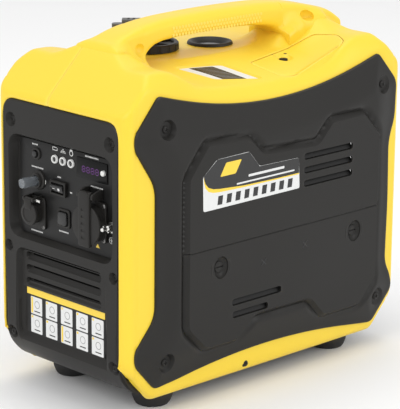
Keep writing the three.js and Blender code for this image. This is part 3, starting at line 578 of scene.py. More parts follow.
def dense(outline, step=0.004):
    """Adds points along an outline's long edges."""
    outline = np.asarray(outline, float)
    out = []
    for a, b in zip(outline, np.roll(outline, -1, axis=0)):
        n = max(1, int(np.linalg.norm(b - a) / step))
        out += [tuple(a + (b - a) * k / n) for k in range(n)]
    return out


pocket_outline = rounded([(0.034, -0.088), (0.050, -0.020), (0.096, 0.006), (0.082, -0.064)], 0.006)
plug_cover_outline = rounded([
    (0.057, 0.020), (0.037, 0.117), (0.048, 0.144), (0.073, 0.161), (0.097, 0.150),
    (0.105, 0.048), (0.101, 0.034)], 0.008)
ridge = np.array([(-0.004, -0.082), (0.010, -0.073), (0.019, -0.065), (0.0235, -0.048),
                  (0.024, -0.032), (0.0245, -0.013), (0.024, 0.005), (0.021, 0.026), (0.016, 0.045),
                  (0.010, 0.068), (0.003, 0.090), (-0.006, 0.114), (-0.014, 0.133)])


def line_distance(points, line):
    """Distance of each point from an open line."""
    best = np.full(len(points), 1e9)
    for a, b in zip(line[:-1], line[1:]):
        d = b - a
        t = np.clip(((points - a) @ d) / (d @ d), 0, 1)
        best = np.minimum(best, np.linalg.norm(points - a - t[:, None] * d, axis=1))
    return best


def shell_inset(points):
    """How far the outer face lies under the smooth skin."""
    inset = np.zeros(len(points))
    pocket = depth_into(points, pocket_outline)
    inset = np.maximum(inset, 0.0030 * np.clip((pocket + 0.0003) / 0.0012, 0, 1))
    seam = np.abs(np.abs(points[:, 1]) - 0.2245)
    on_side = (np.abs(points[:, 0]) > 0.112) & (np.abs(points[:, 1]) < 0.238)
    inset += 0.0011 * np.exp(-(seam / 0.0007) ** 2) * on_side
    inset -= 0.0007 * np.exp(-(line_distance(points, ridge) / 0.0011) ** 2)
    gap = -depth_into(points, plug_cover_outline)
    inset += 0.0010 * np.clip(1 - gap / 0.0014, 0, 1) ** 2 * (gap > 0)
    parting = np.abs(points[:, 0] + 0.0227)
    inset += 0.0008 * np.clip(1 - parting / 0.0012, 0, 1) ** 2
    return inset


def shell_piece(name, low, high, holes):
    """One shell: the skin between two girths, with its holes, as a moulded wall."""
    ends = LENGTH[-1] - 1e-6
    outline = dense([(low, -ends), (high, -ends), (high, ends), (low, ends)], 0.003)
    features = []
    if high > 0.03:
        features += [offset_outline(pocket_outline, 0.0006),
                     offset_outline(pocket_outline, -0.0009),
                     offset_outline(plug_cover_outline, 0.0022)]
    points, faces = panel_net(outline, features, 0.0030, holes)
    dip = shell_inset(points)
    outer = skin_point(points[:, 0], points[:, 1], dip)
    inner = skin_point(points[:, 0], points[:, 1], dip + SHELL_WALL)
    return walled(name, outer, inner, faces, *YELLOW, smooth=40)


PLUG_SCREW, CAP, GAUGE = (0.060, 0.078), (-0.053, -0.050), (-0.027, 0.034)
gauge_hole, cap_hole = circle(*GAUGE, 0.0215, 40), circle(*CAP, 0.0265, 48)
side_window = [(0.205, -0.150), (0.438, -0.150), (0.438, 0.178), (0.205, 0.178)]
right_shell = shell_piece("right_shell_moulding", -0.0225, 0.4995,
                          [offset_outline(plug_cover_outline, 0.0005), dense(side_window),
                           gauge_hole])
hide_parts("right_shell")
left_window = [(-a, y) for a, y in side_window]
left_shell = shell_piece("left_shell_moulding", -0.4995, -0.0229,
                         [dense(left_window), gauge_hole, cap_hole])
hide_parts("left_shell")

# ---- spark-plug cover ----------------------------------------------------------------------
# A loose yellow moulding that drops into the right shell's top, held by one coin-slot screw.
points, faces = panel_net(dense(offset_outline(plug_cover_outline, -0.0004), 0.003),
                          [offset_outline(plug_cover_outline, -0.0018),
                           circle(*PLUG_SCREW, 0.0120)],
                          0.003, [circle(*PLUG_SCREW, 0.0058)])
rim = depth_into(points, plug_cover_outline)
dip = 0.0012 * np.clip(1 - rim / 0.0018, 0, 1) ** 2
seat = np.linalg.norm(points - np.array(PLUG_SCREW), axis=1)
dip += 0.0030 * np.clip((0.0120 - seat) / 0.0025, 0, 1)
plug_cover = walled("plug_cover_moulding", skin_point(points[:, 0], points[:, 1], dip),
                    skin_point(points[:, 0], points[:, 1], dip + 0.0026), faces, yellow_shell,
                    "plug_cover_body", "yellow_shell", 40)
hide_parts("plug_cover")
plug_at = np.array(PLUG_SCREW)[:, None]
seat_point = skin_point(*plug_at)[0]
seat_tilt = skin_point(*plug_at, np.array([0.01]))[0]
seat_normal = Vector(seat_point - seat_tilt).normalized()


def turned(name, profile, material, body, slot, place=(0, 0, 0), axis="Z", segments=48, smooth=40):
    """A round piece from its radius and height pairs, turned about its own axis."""
    build = bmesh.new()
    rings = []
    for radius, rise in profile:
        if radius < 1e-7:
            rings.append([build.verts.new((0, 0, rise))])
        else:
            rings.append([build.verts.new((radius * math.cos(2 * math.pi * k / segments),
                                           radius * math.sin(2 * math.pi * k / segments), rise))
                          for k in range(segments)])
    for low, high in zip(rings[:-1], rings[1:]):
        for k in range(segments):
            a, b = low[k % len(low)], low[(k + 1) % len(low)]
            c, d = high[(k + 1) % len(high)], high[k % len(high)]
            corner = []
            for v in (a, b, c, d):
                if v not in corner:
                    corner.append(v)
            if len(corner) > 2:
                build.faces.new(corner)
    bmesh.ops.recalc_face_normals(build, faces=build.faces)
    turn = {"X": Matrix.Rotation(math.pi / 2, 4, "Y"), "Y": Matrix.Rotation(math.pi / 2, 4, "X"),
            "-X": Matrix.Rotation(-math.pi / 2, 4, "Y"), "Z": Matrix.Identity(4)}
    turn = turn[axis] if isinstance(axis, str) else axis
    build.transform(Matrix.Translation(place) @ turn)
    thing = from_build(name, build)
    if material:
        dress(thing, material, body, slot, smooth)
    return thing


def soft_disc(radius, low, high, rim=0.001):
    """Profile of a disc with a rounded upper rim."""
    arc = [(radius - rim + rim * math.cos(t), high - rim + rim * math.sin(t))
           for t in np.linspace(0, math.pi / 2, 5)]
    return [(0, low), (radius, low), *arc, (0, high)]


along_seat = seat_normal.to_track_quat("Z", "Y").to_matrix().to_4x4()
plug_screw = turned("plug_cover_coin_screw", soft_disc(0.0052, -0.010, -0.0012, 0.0008),
                    black_moulding, "plug_screw_body", "black_plastic", Vector(seat_point), "Z")
slot_cut = slab("slot", rounded_box(-0.0048, 0.0048, -0.0008, 0.0008, 0.0004), "z", -0.0028, 0.002)
slot_cut.data.transform(Matrix.Translation(Vector(seat_point)))
cut(plug_screw, slot_cut)
dress(plug_screw, black_moulding, "plug_screw_body", "black_plastic")
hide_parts("plug_cover_screw")
for side in (-1, 1):
    mark = slab("lock_mark_%s" % ("left" if side < 0 else "right"),
                rounded_box(-0.0018, 0.0018, 0.0125, 0.0155, 0.0008), "z", -0.0004, 0.0002)
    mark.data.transform(Matrix.Translation(Vector(seat_point)) @ along_seat
                        @ Matrix.Rotation(side * 0.7, 4, "Z"))
    dress(mark, black_moulding, "plug_cover_body", "black_plastic")

# ---- carry handle --------------------------------------------------------------------------
# A yellow arch that stands on top of the shells; its front foot is a short pillar, its rear
# foot runs out over the end slope. The top is broad and softly crowned.
top_line = np.array([(-0.184, 0.4270), (-0.180, 0.4335), (-0.168, 0.4395), (-0.143, 0.4480),
                     (-0.120, 0.4525), (-0.090, 0.4560), (-0.045, 0.4578), (0, 0.4583),
                     (0.045, 0.4578), (0.095, 0.4560), (0.132, 0.4520), (0.170, 0.4445),
                     (0.208, 0.4325), (0.222, 0.4235)])
under_line = np.array([(-0.1242, 0.398), (-0.1240, 0.405), (-0.1225, 0.411), (-0.1190, 0.4165),
                       (-0.1130, 0.4220), (-0.1050, 0.4265), (-0.090, 0.4298), (-0.062, 0.4318),
                       (-0.003, 0.4325), (0.030, 0.4320), (0.052, 0.4308), (0.070, 0.4292),
                       (0.085, 0.4270), (0.098, 0.4238), (0.106, 0.4200), (0.1110, 0.4150),
                       (0.1135, 0.4090), (0.1139, 0.398)])
stations = np.concatenate([np.linspace(-0.1836, -0.1245, 26), under_line[:, 0] * 0.999999,
                           np.linspace(-0.1235, -0.100, 22), np.linspace(-0.098, 0.058, 60),
                           np.linspace(0.060, 0.1134, 34), np.linspace(0.1145, 0.2215, 56)])
stations = np.unique(np.round(stations, 5))


def spline(line, value):
    """A smooth curve through the line's points."""
    x, y = line[:, 0], line[:, 1]
    slope = np.gradient(y, x)
    k = np.clip(np.searchsorted(x, value) - 1, 0, len(x) - 2)
    h = x[k + 1] - x[k]
    t = np.clip((value - x[k]) / h, 0, 1)
    return ((2 * t**3 - 3 * t**2 + 1) * y[k] + (t**3 - 2 * t**2 + t) * h * slope[k]
            + (-2 * t**3 + 3 * t**2) * y[k + 1] + (t**3 - t**2) * h * slope[k + 1])


def tube_faces(rows, count):
    """Faces of a closed tube laid over rows of count points each."""
    sides = [(i * count + k, i * count + (k + 1) % count, (i + 1) * count + (k + 1) % count,
              (i + 1) * count + k) for i in range(rows - 1) for k in range(count)]
    last = (rows - 1) * count
    return sides + [tuple(range(count)), tuple(reversed(range(last, last + count)))]


def handle_ring(y, count=72):
    top = float(spline(top_line, y))
    open_below = -0.12405 < y < 0.1136
    low = float(np.interp(y, under_line[:, 0], under_line[:, 1])) if open_below else 0.392
    half = 0.0235 + 0.0015 * float(ramp(0.09, 0.17, abs(y)))
    ring = []
    for k in range(count):
        t = 2 * math.pi * (k + 0.5) / count
        c, s = math.cos(t), math.sin(t)
        power = 2 / 4.4
        x = half * math.copysign(abs(c) ** power, c)
        middle, tall = (top + low) / 2, (top - low) / 2
        z = middle + tall * math.copysign(abs(s) ** power, s)
        if not open_below:
            tall_top = 0.0145
            z = top - tall_top + tall_top * abs(s) ** power if s > 0 else top - tall_top - (
                top - tall_top - low) * abs(s) ** power
            x = half * math.copysign(abs(c) ** power, c) if s > 0 else half * math.copysign(1,
                    c) * min(
                1, abs(c) ** 0.12)
        crown = 1 - 0.18 * ramp(0.0, 1.0, (z - (top - 0.012)) / 0.012) * (1 - float(
            ramp(0.08, 0.165, abs(y))))
        x *= float(crown)
        ground = float(body_top(np.array(x), np.array(y)))
        flare = 0.013 * max(0.0, 1 - max(0.0, z - ground + 0.001) / 0.016) ** 2.2
        if abs(x) > 0.008 and (not open_below or z < 0.424):
            x += math.copysign(flare, x)
        ring.append((x, y, z))
    return ring


rings = [handle_ring(y) for y in stations]
vertices = [p for ring in rings for p in ring]
faces = tube_faces(len(rings), len(rings[0]))
handle = new_object("carry_handle_moulding", vertices, faces, *YELLOW, 50)
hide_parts("carry_handle")
for name, y, z, wide, tall in (("front", -0.1335, 0.4265, 0.0095, 0.0080),
                               ("rear", 0.1520, 0.4320, 0.0125, 0.0098)):
    ball = turned("blind", [(0, -1), *((math.cos(a), math.sin(a))
                                       for a in np.linspace(-1.3, 1.3, 15)), (0, 1)],
                  None, None, None)
    ball.data.transform(Matrix.Translation((0.0280, y, z))
                        @ Matrix.Diagonal((0.0075, wide, tall, 1)))
    cut(handle, ball)
dress(handle, *YELLOW, 50)
# A patch of small raised hexagons lets the fingers grip the handle's right flank.
vertices, faces = [], []
for row in range(3):
    for column in range(30 - row % 2):
        y, z = -0.0770 + (column + 0.5 * (row % 2)) * 0.0052, 0.4362 + row * 0.0044
        start = len(vertices)
        for x, size in ((0.0205, 0.0024), (0.0239, 0.0021)):
            vertices += [(x, y + size * math.sin(k * math.pi / 3),
                          z + size * math.cos(k * math.pi / 3)) for k in range(6)]
        faces += [tuple(range(start, start + 6)), tuple(range(start + 11, start + 5, -1))]
        faces += [(start + k, start + (k + 1) % 6, start + 6 + (k + 1) % 6, start + 6 + k)
                  for k in range(6)]
new_object("handle_grip_studs", vertices, faces, *YELLOW, 20)

# ---- cross-head screws ---------------------------------------------------------------------
# Black self-tapping screws with domed heads hold the covers and panels to the shells.
screw_stock = turned("screw_stock", [(0, -0.004), (0.0028, -0.004), (0.0028, -0.0012),
                                     (0.0046, -0.0012), (0.0048, 0), (0.0044, 0.0008),
                                     (0.0032, 0.0015), (0.0016, 0.0019), (0, 0.0020)],
                     None, None, None, segments=28)
for turn in (0, math.pi / 2):
    arm = slab("arm", rounded_box(-0.0026, 0.0026, -0.00055, 0.00055, 0.0003), "z", 0.0006, 0.004)
    arm.matrix_world = Matrix.Rotation(turn, 4, "Z")
    cut(screw_stock, arm)
screw_mesh = screw_stock.data
bpy.data.objects.remove(screw_stock)
FACING = {"+X": Matrix.Rotation(math.pi / 2, 4, "Y"), "-X": Matrix.Rotation(-math.pi / 2, 4, "Y"),
          "-Y": Matrix.Rotation(math.pi / 2, 4, "X"), "+Y": Matrix.Rotation(-math.pi / 2, 4, "X")}


def screw(name, place, facing, spin=0.0, size=1.0, material=None, body="frame_body"):
    mesh = screw_mesh.copy()
    mesh.transform(Matrix.Translation(place) @ FACING[facing] @ Matrix.Rotation(spin, 4, "Z")
                   @ Matrix.Scale(size, 4))
    return dress(placed(name, mesh), material or black_moulding, body, "black_plastic")


# ---- side covers ---------------------------------------------------------------------------
# Black mouldings with four ears and a domed frame. A bevelled groove runs round the panel in
# the middle; on the right its lower half is the loose service door.
def mm_outline(points, radius, steps=5):
    return rounded([(y / 1000, z / 1000) for y, z in points], radius, steps)


def bow(y0, z0, y1, z1, sag, count=14):
    """Points of a shallow arch from one corner to the other."""
    return [(y0 + (y1 - y0) * t, z0 + (z1 - z0) * t - sag * 4 * t * (1 - t))
            for t in np.linspace(0, 1, count)]


cover_outline = mm_outline(
    [(-195, 286), (-195, 235), (-195, 178), (-195, 127), (-227, 91), (-227, 73), (-196, 38)]
    + bow(-188, 37, 182, 35, -16.5)[1:-1] + [(190, 35), (229, 76), (225, 94), (214, 114),
                                             (216, 197), (214, 277), (224.5, 305), (226, 354.5),
                                             (190, 394)]
    + bow(187, 393.5, -187, 393, 30.5)[1:-1] + [(-191, 393.5), (-227, 352), (-227, 334)],
    [0.014, 0.02, 0.02, 0.014, 0.010, 0.010, 0.006] + [0.01] * 12 + [0.008, 0.012, 0.01, 0.02, 0.02,
            0.02, 0.012,
                                                                   0.01, 0.006]
    + [0.01] * 12 + [0.006, 0.010, 0.010])
groove_loop = mm_outline(
    [(-154, 102), (-154, 290), (-121, 330), (-45, 326), (-23, 304), (70, 300), (95, 325),
     (160, 326), (191, 292), (191, 99), (158, 65), (87, 65), (61, 93), (-32, 94), (-64, 68),
     (-121, 68)], 0.007)
DISHES = [(-0.181, 0.353), (-0.181, 0.0685), (0.1965, 0.353), (0.1965, 0.0700)]
SPLIT = 0.1975
GROOVE_FLOOR, COVER_BACK = 0.1232, 0.1186


def cover_height(points):
    """How far the outer face stands from the middle of the body."""
    depth = depth_into(points, cover_outline)
    x = 0.1214 + 0.0064 * ramp(0, 0.045, depth)
    x -= 0.0024 * (1 - np.sqrt(np.maximum(0, 1 - np.clip(1 - depth / 0.0026, 0, 1) ** 2)))
    into = depth_into(points, groove_loop)
    x = np.where(into < 0, np.minimum(x, GROOVE_FLOOR + (x - GROOVE_FLOOR) * np.clip(-into / 0.0065,
            0, 1)),
                 GROOVE_FLOOR + 0.0062 * np.clip(into / 0.0058, 0, 1))
    for y, z in DISHES:
        r = np.hypot(points[:, 0] - y, points[:, 1] - z)
        wall = ramp(0.0092, 0.0122, r)
        x = np.where(r < 0.0135, np.minimum(x, 0.1208 + (x - 0.1208) * wall), x)
    return x


def slot_holes(rows):
    return [rounded_box(y0, y1, z - 0.0042, z + 0.0042, 0.0041, 5) for y0, y1, z in rows]


def side_piece(name, outline, holes, features, height, mirror, body, wall=0.0030, grid=0.0034):
    points, faces = panel_net(dense(outline, 0.003), features, grid, holes)
    x = height(points)
    back = np.maximum(x - wall, COVER_BACK)
    side = -1 if mirror else 1
    outer = np.stack([x * side, points[:, 0], points[:, 1]], 1)
    inner = np.stack([np.minimum(back, x - 0.0012) * side, points[:, 0], points[:, 1]], 1)
    return walled(name, outer, inner, faces, black_moulding, body, "black_plastic", 32)


def loops_above(loop, level, keep_above):
    """The part of a closed outline on one side of a level, as its own closed outline."""
    loop = np.asarray(loop)
    out = []
    for a, b in zip(loop, np.roll(loop, -1, axis=0)):
        a_in, b_in = (a[1] > level) == keep_above, (b[1] > level) == keep_above
        if a_in:
            out.append(tuple(a))
        if a_in != b_in:
            t = (level - a[1]) / (b[1] - a[1])
            out.append(tuple(a + (b - a) * t))
    return out


rim_loops = [offset_outline(cover_outline, -0.0026), offset_outline(cover_outline, -0.0009),
             offset_outline(groove_loop, 0.0065)]
dish_loops = [circle(y, z, r, 28) for y, z in DISHES for r in (0.0092, 0.0122)]
door_hole = loops_above(groove_loop, SPLIT, False)
upper_slots = slot_holes([(0.046, 0.135, 0.284), (0.046, 0.135, 0.2665), (0.046, 0.135, 0.2495)])
upper_bevel = loops_above(offset_outline(groove_loop, -0.0058), SPLIT + 0.0012, True)
right_cover = side_piece(
    "right_cover_moulding", cover_outline, [dense(offset_outline(door_hole, 0.0002), 0.004),
                                            *upper_slots],
    [*rim_loops[:2], *dish_loops, upper_bevel], cover_height, False, "frame_body")
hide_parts("right_cover")

# Slanted blades behind the slots throw rain out; they and the sheet that hides the engine are
# painted shade.
def blades(name, rows, mirror, body):
    side = -1 if mirror else 1
    build = bmesh.new()
    for y0, y1, z in rows:
        section = [(0.1190, z + 0.0085), (0.1198, z + 0.0085), (0.1262, z - 0.0036),
                   (0.1254, z - 0.0050), (0.1190, z - 0.0062)]
        ends = [[build.verts.new((x * side, y, b)) for x, b in section]
                for y in (y0 - 0.002, y1 + 0.002)]
        build.faces.new(ends[0])
        build.faces.new(list(reversed(ends[1])))
        for k in range(5):
            build.faces.new((ends[0][k], ends[1][k], ends[1][(k + 1) % 5], ends[0][(k + 1) % 5]))
    y0, y1 = min(r[0] for r in rows) - 0.004, max(r[1] for r in rows) + 0.004
    z0, z1 = min(r[2] for r in rows) - 0.0065, max(r[2] for r in rows) + 0.0095
    # A thin sheet in the darkest finish closes the slots from behind: painted shade for the hollow
    # body.
    plate = [[build.verts.new((x * side, y, z))
              for y, z in ((y0, z0), (y1, z0), (y1, z1), (y0, z1))]
             for x in (COVER_BACK, 0.1190)]
    build.faces.new(plate[0])
    build.faces.new(list(reversed(plate[1])))
    for k in range(4):
        build.faces.new((plate[0][k], plate[1][k], plate[1][(k + 1) % 4], plate[0][(k + 1) % 4]))
    bmesh.ops.recalc_face_normals(build, faces=build.faces)
    return dress(from_build(name, build), dark_plate_finish, body, "black_plastic")


blades("upper_slot_blades", [(0.046, 0.135, z) for z in (0.284, 0.2665, 0.2495)], False,
       "frame_body")
for k, (y, z) in enumerate(DISHES):
    screw("right_cover_screw_%d" % (k + 1), (0.1212, y, z), "+X", spin=0.4 + k)

# ---- service door --------------------------------------------------------------------------
# The black lower half of the right panel lifts off for the spark plug and the oil filler. Two
# quarter-turn fasteners hold it from dished seats.
DOOR_SEATS = [(-0.096, 0.171), (0.142, 0.171)]
door_outline = loops_above(offset_outline(groove_loop, -0.0003), SPLIT - 0.0007, False)
door_slots = slot_holes([(-0.077, 0.009, 0.122), (-0.076, -0.014, 0.106)])


def door_height(points):
    into = depth_into(points, groove_loop)
    x = GROOVE_FLOOR + 0.0062 * np.clip(into / 0.0058, 0, 1)
    for y, z in DOOR_SEATS:
        r = np.hypot((points[:, 0] - y) / 0.0118, (points[:, 1] - z) / 0.0140)
        x = np.where(r < 1.0, x - 0.0056 * np.sqrt(np.maximum(0, 1 - r ** 2.6)), x)
    top = SPLIT - 0.0007 - points[:, 1]
    return x - 0.0010 * np.clip(1 - top / 0.0012, 0, 1) ** 2


seat_loops = [[(y + 0.0118 * s * math.cos(t), z + 0.0140 * s * math.sin(t))
               for t in np.linspace(0, 2 * math.pi, 32, endpoint=False)]
              for y, z in DOOR_SEATS for s in (0.97, 1.0)]
door_bevel = loops_above(offset_outline(groove_loop, -0.0058), SPLIT - 0.0022, False)
service_door = side_piece(
    "service_door_moulding", door_outline,
    [*door_slots, *(circle(y, z, 0.0045, 20) for y, z in DOOR_SEATS)],
    [door_bevel, *seat_loops], door_height, False, "door")
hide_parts("service_door")
blades("door_slot_blades", [(-0.077, 0.009, 0.122), (-0.076, -0.014, 0.106)], False, "door")
for (y, z), which in zip(DOOR_SEATS, ("front", "rear")):
    body = "door_screw_%s_turn" % which
    fastener = turned("door_fastener_" + which, soft_disc(0.0072, -0.0128, 0.0012, 0.0009), None,
                      None, None, (0.1244, y, z), FACING["+X"])
    groove = slab("groove", rounded_box(y - 0.0062, y + 0.0062, z - 0.0009, z + 0.0009, 0.0005),
                  "x", 0.1243, 0.130)
    cut(fastener, groove)
    dress(fastener, black_moulding, body, "black_plastic")
    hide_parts("door_screw_" + which)
    for side in (-1, 1):
        arc = [(y + side * 0.0165 * math.cos(t), z + 0.0165 * math.sin(t))
               for t in np.linspace(-0.55, 0.55, 12)]
        arc += [(y + side * 0.0152 * math.cos(t), z + 0.0152 * math.sin(t))
                for t in np.linspace(0.55, -0.55, 12)]
        mark = slab("turn_arc_%s_%s" % (which, "l" if side < 0 else "r"), arc, "x", 0.1292, 0.1296)
        dress(mark, black_moulding, "door", "black_plastic")

# ---- side label ----------------------------------------------------------------------------
# A printed vinyl label: a black field, a yellow sweep and a pale band with plain bars.
gloss_black = moulded("label_black", (0.010, 0.010, 0.010), (0.02, 0.02, 0.02), 0.25, dust=0.0,
                      grain_depth=0.05)
label_yellow = moulded("label_yellow", (0.90, 0.62, 0.03), (0.95, 0.7, 0.1), 0.3, dust=0.0,
                       grain_depth=0.05)
label_pale = moulded("label_pale", (0.74, 0.75, 0.74), (0.8, 0.8, 0.8), 0.3, dust=0.0,
                     grain_depth=0.05)
LABEL_FACE = 0.1295
label_edge = mm_outline([(-127, 245.5), (38, 246), (36, 285), (-33, 286), (-51, 307), (-105, 306),
                         (-128, 288)], 0.003)


def sticker(name, outline, low, high, material, slot, axis="x", body="frame_body"):
    return dress(slab(name, outline, axis, low, high), material, body, slot)


sticker("label_field", label_edge, LABEL_FACE - 0.0002, LABEL_FACE + 0.0001, label_pale,
        "white_plastic")
sweep_low = [(-0.127, 0.2880), (-0.1262, 0.2800), (-0.124, 0.2740), (-0.119, 0.2690),
             (-0.111, 0.2665), (-0.100, 0.2655), (-0.060, 0.2645), (0.000, 0.2640),
             (0.0365, 0.2640)]
sweep_high = [(y, z + d) for (y, z), d in zip(sweep_low, (0.0, 0.0045, 0.0052, 0.0050, 0.0045,
                                                          0.0040, 0.0022, 0.0016, 0.0016))]
sticker("label_sweep", sweep_low + sweep_high[::-1][:-1], LABEL_FACE + 0.0001, LABEL_FACE + 0.0002,
        label_yellow, "yellow_shell")
top_edge = [(0.0360, 0.2848), (-0.0330, 0.2858), (-0.0510, 0.3065), (-0.1045, 0.3058),
            (-0.1268, 0.2890)]
sticker("label_top", sweep_high[1:] + top_edge, LABEL_FACE + 0.0001, LABEL_FACE + 0.00025,
        gloss_black, "dark_plate")
for k in range(9):
    y = -0.104 + k * 0.0150
    sticker("label_bar_%d" % k, [(y, 0.2500), (y + 0.008, 0.2500), (y + 0.0095, 0.2610),
                                 (y + 0.0015, 0.2610)],
            LABEL_FACE + 0.0001, LABEL_FACE + 0.0002, gloss_black, "dark_plate")
for k, (y0, y1, z0, z1) in enumerate([(-0.072, 0.028, 0.2695, 0.2715),
                                      (-0.052, 0.010, 0.2760, 0.2790),
                                      (-0.094, -0.060, 0.2810, 0.2985)]):
    outline = rounded_box(y0, y1, z0, z1, 0.0009) if k < 2 else mm_outline(
        [(-100, 284), (-74, 284), (-64, 300), (-90, 300)], 0.002)
    sticker("label_print_%d" % k, outline, LABEL_FACE + 0.00025, LABEL_FACE + 0.0003,
            label_yellow if k == 2 else label_pale, "white_plastic")

# ---- left cover and starter ----------------------------------------------------------------
# The left moulding mirrors the right one without a door. The starter grip parks in a round dish.
GRIP = (-0.030, 0.232)
left_slots = [(0.064, 0.160, z) for z in (0.284, 0.2665, 0.249, 0.2315, 0.214)] + [
    (-0.040, 0.060, z) for z in (0.124, 0.1065)]


def left_height(points):
    x = cover_height(points)
    r = np.hypot(points[:, 0] - GRIP[0], points[:, 1] - GRIP[1])
    dish = 0.1112 + 0.0182 * ramp(0.0285, 0.0345, r)
    return np.where(r < 0.0350, np.minimum(x, dish), x)


points, faces = panel_net(
    dense(cover_outline, 0.003),
    [*rim_loops, groove_loop, offset_outline(groove_loop, -0.0058), *dish_loops,
     *(circle(*GRIP, r, 40) for r in (0.0285, 0.0315, 0.0345))], 0.0034,
    [*slot_holes(left_slots), circle(*GRIP, 0.0050, 20)])
x = left_height(points)
near_grip = np.hypot(points[:, 0] - GRIP[0], points[:, 1] - GRIP[1]) < 0.036
back = np.where(near_grip, x - 0.0026, np.maximum(x - 0.003, COVER_BACK))
left_cover = walled("left_cover_moulding", np.stack([-x, points[:, 0], points[:, 1]], 1),
                    np.stack([-np.minimum(back, x - 0.0012), points[:, 0], points[:, 1]], 1), faces,
                    *BLACK, 32)
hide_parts("left_cover")
blades("left_slot_blades", left_slots[:5], True, "frame_body")
blades("left_lower_blades", left_slots[5:], True, "frame_body")
for k, (y, z) in enumerate(DISHES):
    screw("left_cover_screw_%d" % (k + 1), (-0.1212, y, z), "-X", spin=0.9 + k)
stations_y = np.linspace(-0.026, 0.026, 53)
rings = []
for y in stations_y:
    close = math.sqrt(max(0.02, 1 - (abs(y) / 0.0262) ** 6))
    wave = 0.0009 * math.cos(y / 0.052 * 2 * math.pi * 3)
    rings.append([(-0.1228 + (0.0056 + wave) * close * math.copysign(abs(math.cos(t)) ** 0.8,
            math.cos(t)),
                   GRIP[0] + y, GRIP[1] + 0.0078 * close * math.copysign(abs(math.sin(t)) ** 0.8,
                           math.sin(t)))
                  for t in np.linspace(0, 2 * math.pi, 28, endpoint=False)])
vertices = [p for ring in rings for p in ring]
faces = tube_faces(len(rings), len(rings[0]))
grip = new_object("starter_grip_moulding", vertices, faces, rubber_finish, "starter_grip_body",
                  "black_plastic", 60)
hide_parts("recoil_grip")
turned("starter_cord_stub", soft_disc(0.0030, 0.0, 0.016, 0.0005), dark_plate_finish,
       "starter_grip_body", "black_plastic", (-0.1040, *GRIP), FACING["-X"], 20)

# ---- front panel ---------------------------------------------------------------------------
# One black moulding that fills the shells' front opening and rolls under as a chin. It has a
# shallow tray for the control plate and a second one for the intake louvres and the icon card.
FRONT = -0.2398
CHIN_TOP = 0.080
chin_t = np.linspace(0, 1, 200)[:, None]
chin_curve = ((1 - chin_t) ** 2 * np.array([FRONT, CHIN_TOP])
              + 2 * chin_t * (1 - chin_t) * np.array([-0.2350, 0.0290])
              + chin_t ** 2 * np.array([-0.1762, 0.0205]))
chin_run = np.concatenate([[0], np.cumsum(np.linalg.norm(np.diff(chin_curve, axis=0), axis=1))])
PANEL_LOW = CHIN_TOP - chin_run[-1] + 1e-5


def front_point(x, b, inset):
    """A point on the front face for width x and run b down the panel, sunk in by inset."""
    under = np.clip(CHIN_TOP - b, 0, chin_run[-1])
    y = np.interp(under, chin_run, chin_curve[:, 0])
    z = np.where(b > CHIN_TOP, b, np.interp(under, chin_run, chin_curve[:, 1]))
    y2 = np.interp(np.minimum(under + 0.0005, chin_run[-1]), chin_run, chin_curve[:, 0])
    z2 = np.interp(np.minimum(under + 0.0005, chin_run[-1]), chin_run, chin_curve[:, 1])
    y1 = np.interp(np.maximum(under - 0.0005, 0), chin_run, chin_curve[:, 0])
    z1 = np.interp(np.maximum(under - 0.0005, 0), chin_run, chin_curve[:, 1])
    ty, tz = y2 - y1, z2 - z1
    size = np.hypot(ty, tz) + 1e-12
    flat = b > CHIN_TOP + 0.0006
    ny = np.where(flat, 1.0, -tz / size)
    nz = np.where(flat, 0.0, ty / size)
    return np.stack([x, y + ny * inset, z + nz * inset], axis=1)


panel_outline = rounded([(-0.105, PANEL_LOW), (0.105, PANEL_LOW), (0.105, 0.364), (-0.105, 0.364)],
                        [0.001, 0.001, 0.020, 0.020], 8)
control_tray = rounded_box(-0.0945, 0.0945, 0.1935, 0.3225, 0.020, 8)
louvre_tray = rounded([(-0.0825, 0.0590), (0.0825, 0.0590), (0.0825, 0.1815), (-0.0825, 0.1815)],
                      [0.006, 0.006, 0.016, 0.016], 8)
PANEL_SCREWS = [(s * x, z, r) for x, z, r in ((0.0895, 0.3385, 0.0092), (0.0955, 0.1795, 0.0074),
                                              (0.0940, 0.0670, 0.0092))
                for s in (-1, 1)]


def screw_pits(points, inset, pits, depth=0.0048):
    for x, z, r in pits:
        d = np.hypot(points[:, 0] - x, points[:, 1] - z)
        inset = np.maximum(inset, depth * (1 - ramp(r * 0.58, r, d)))
    return inset


def panel_inset(points, with_trays=True):
    edge_depth = depth_into(points, panel_outline)
    inset = 0.0014 * (1 - np.sqrt(np.maximum(0, 1 - np.clip(1 - edge_depth / 0.0018, 0, 1) ** 2)))
    if with_trays:
        into = depth_into(points, control_tray)
        inset = np.maximum(inset, 0.0104 * ramp(0.0, 0.0055, into))
        into = depth_into(points, louvre_tray)
        foot = ramp(0.0600, 0.0712, points[:, 1])
        inset = np.maximum(inset, 0.0086 * ramp(0.0, 0.0050, into) * foot)
    return screw_pits(points, inset, PANEL_SCREWS)


pit_loops = [circle(x, z, r * s, 24) for x, z, r in PANEL_SCREWS for s in (0.58, 0.79, 1.0)]
points, faces = panel_net(
    dense(panel_outline, 0.003),
    [offset_outline(panel_outline, -0.0018), control_tray, offset_outline(control_tray, -0.0055),
     louvre_tray, offset_outline(louvre_tray, -0.0050), *pit_loops], 0.0030,
    [rounded_box(-0.0790, 0.0880, 0.2030, 0.3140, 0.003),
     rounded_box(-0.0725, 0.0705, 0.1385, 0.1765, 0.003)])
dip = panel_inset(points)
front_panel = walled("front_panel_moulding", front_point(points[:, 0], points[:, 1], dip),
                     front_point(points[:, 0], points[:, 1], dip + 0.0024), faces, *BLACK, 36)
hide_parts("front_panel")
for k, (x, z, r) in enumerate(PANEL_SCREWS):
    screw("front_panel_screw_%d" % (k + 1), (x, -0.2352, z), "-Y", spin=0.3 + k, size=0.85)

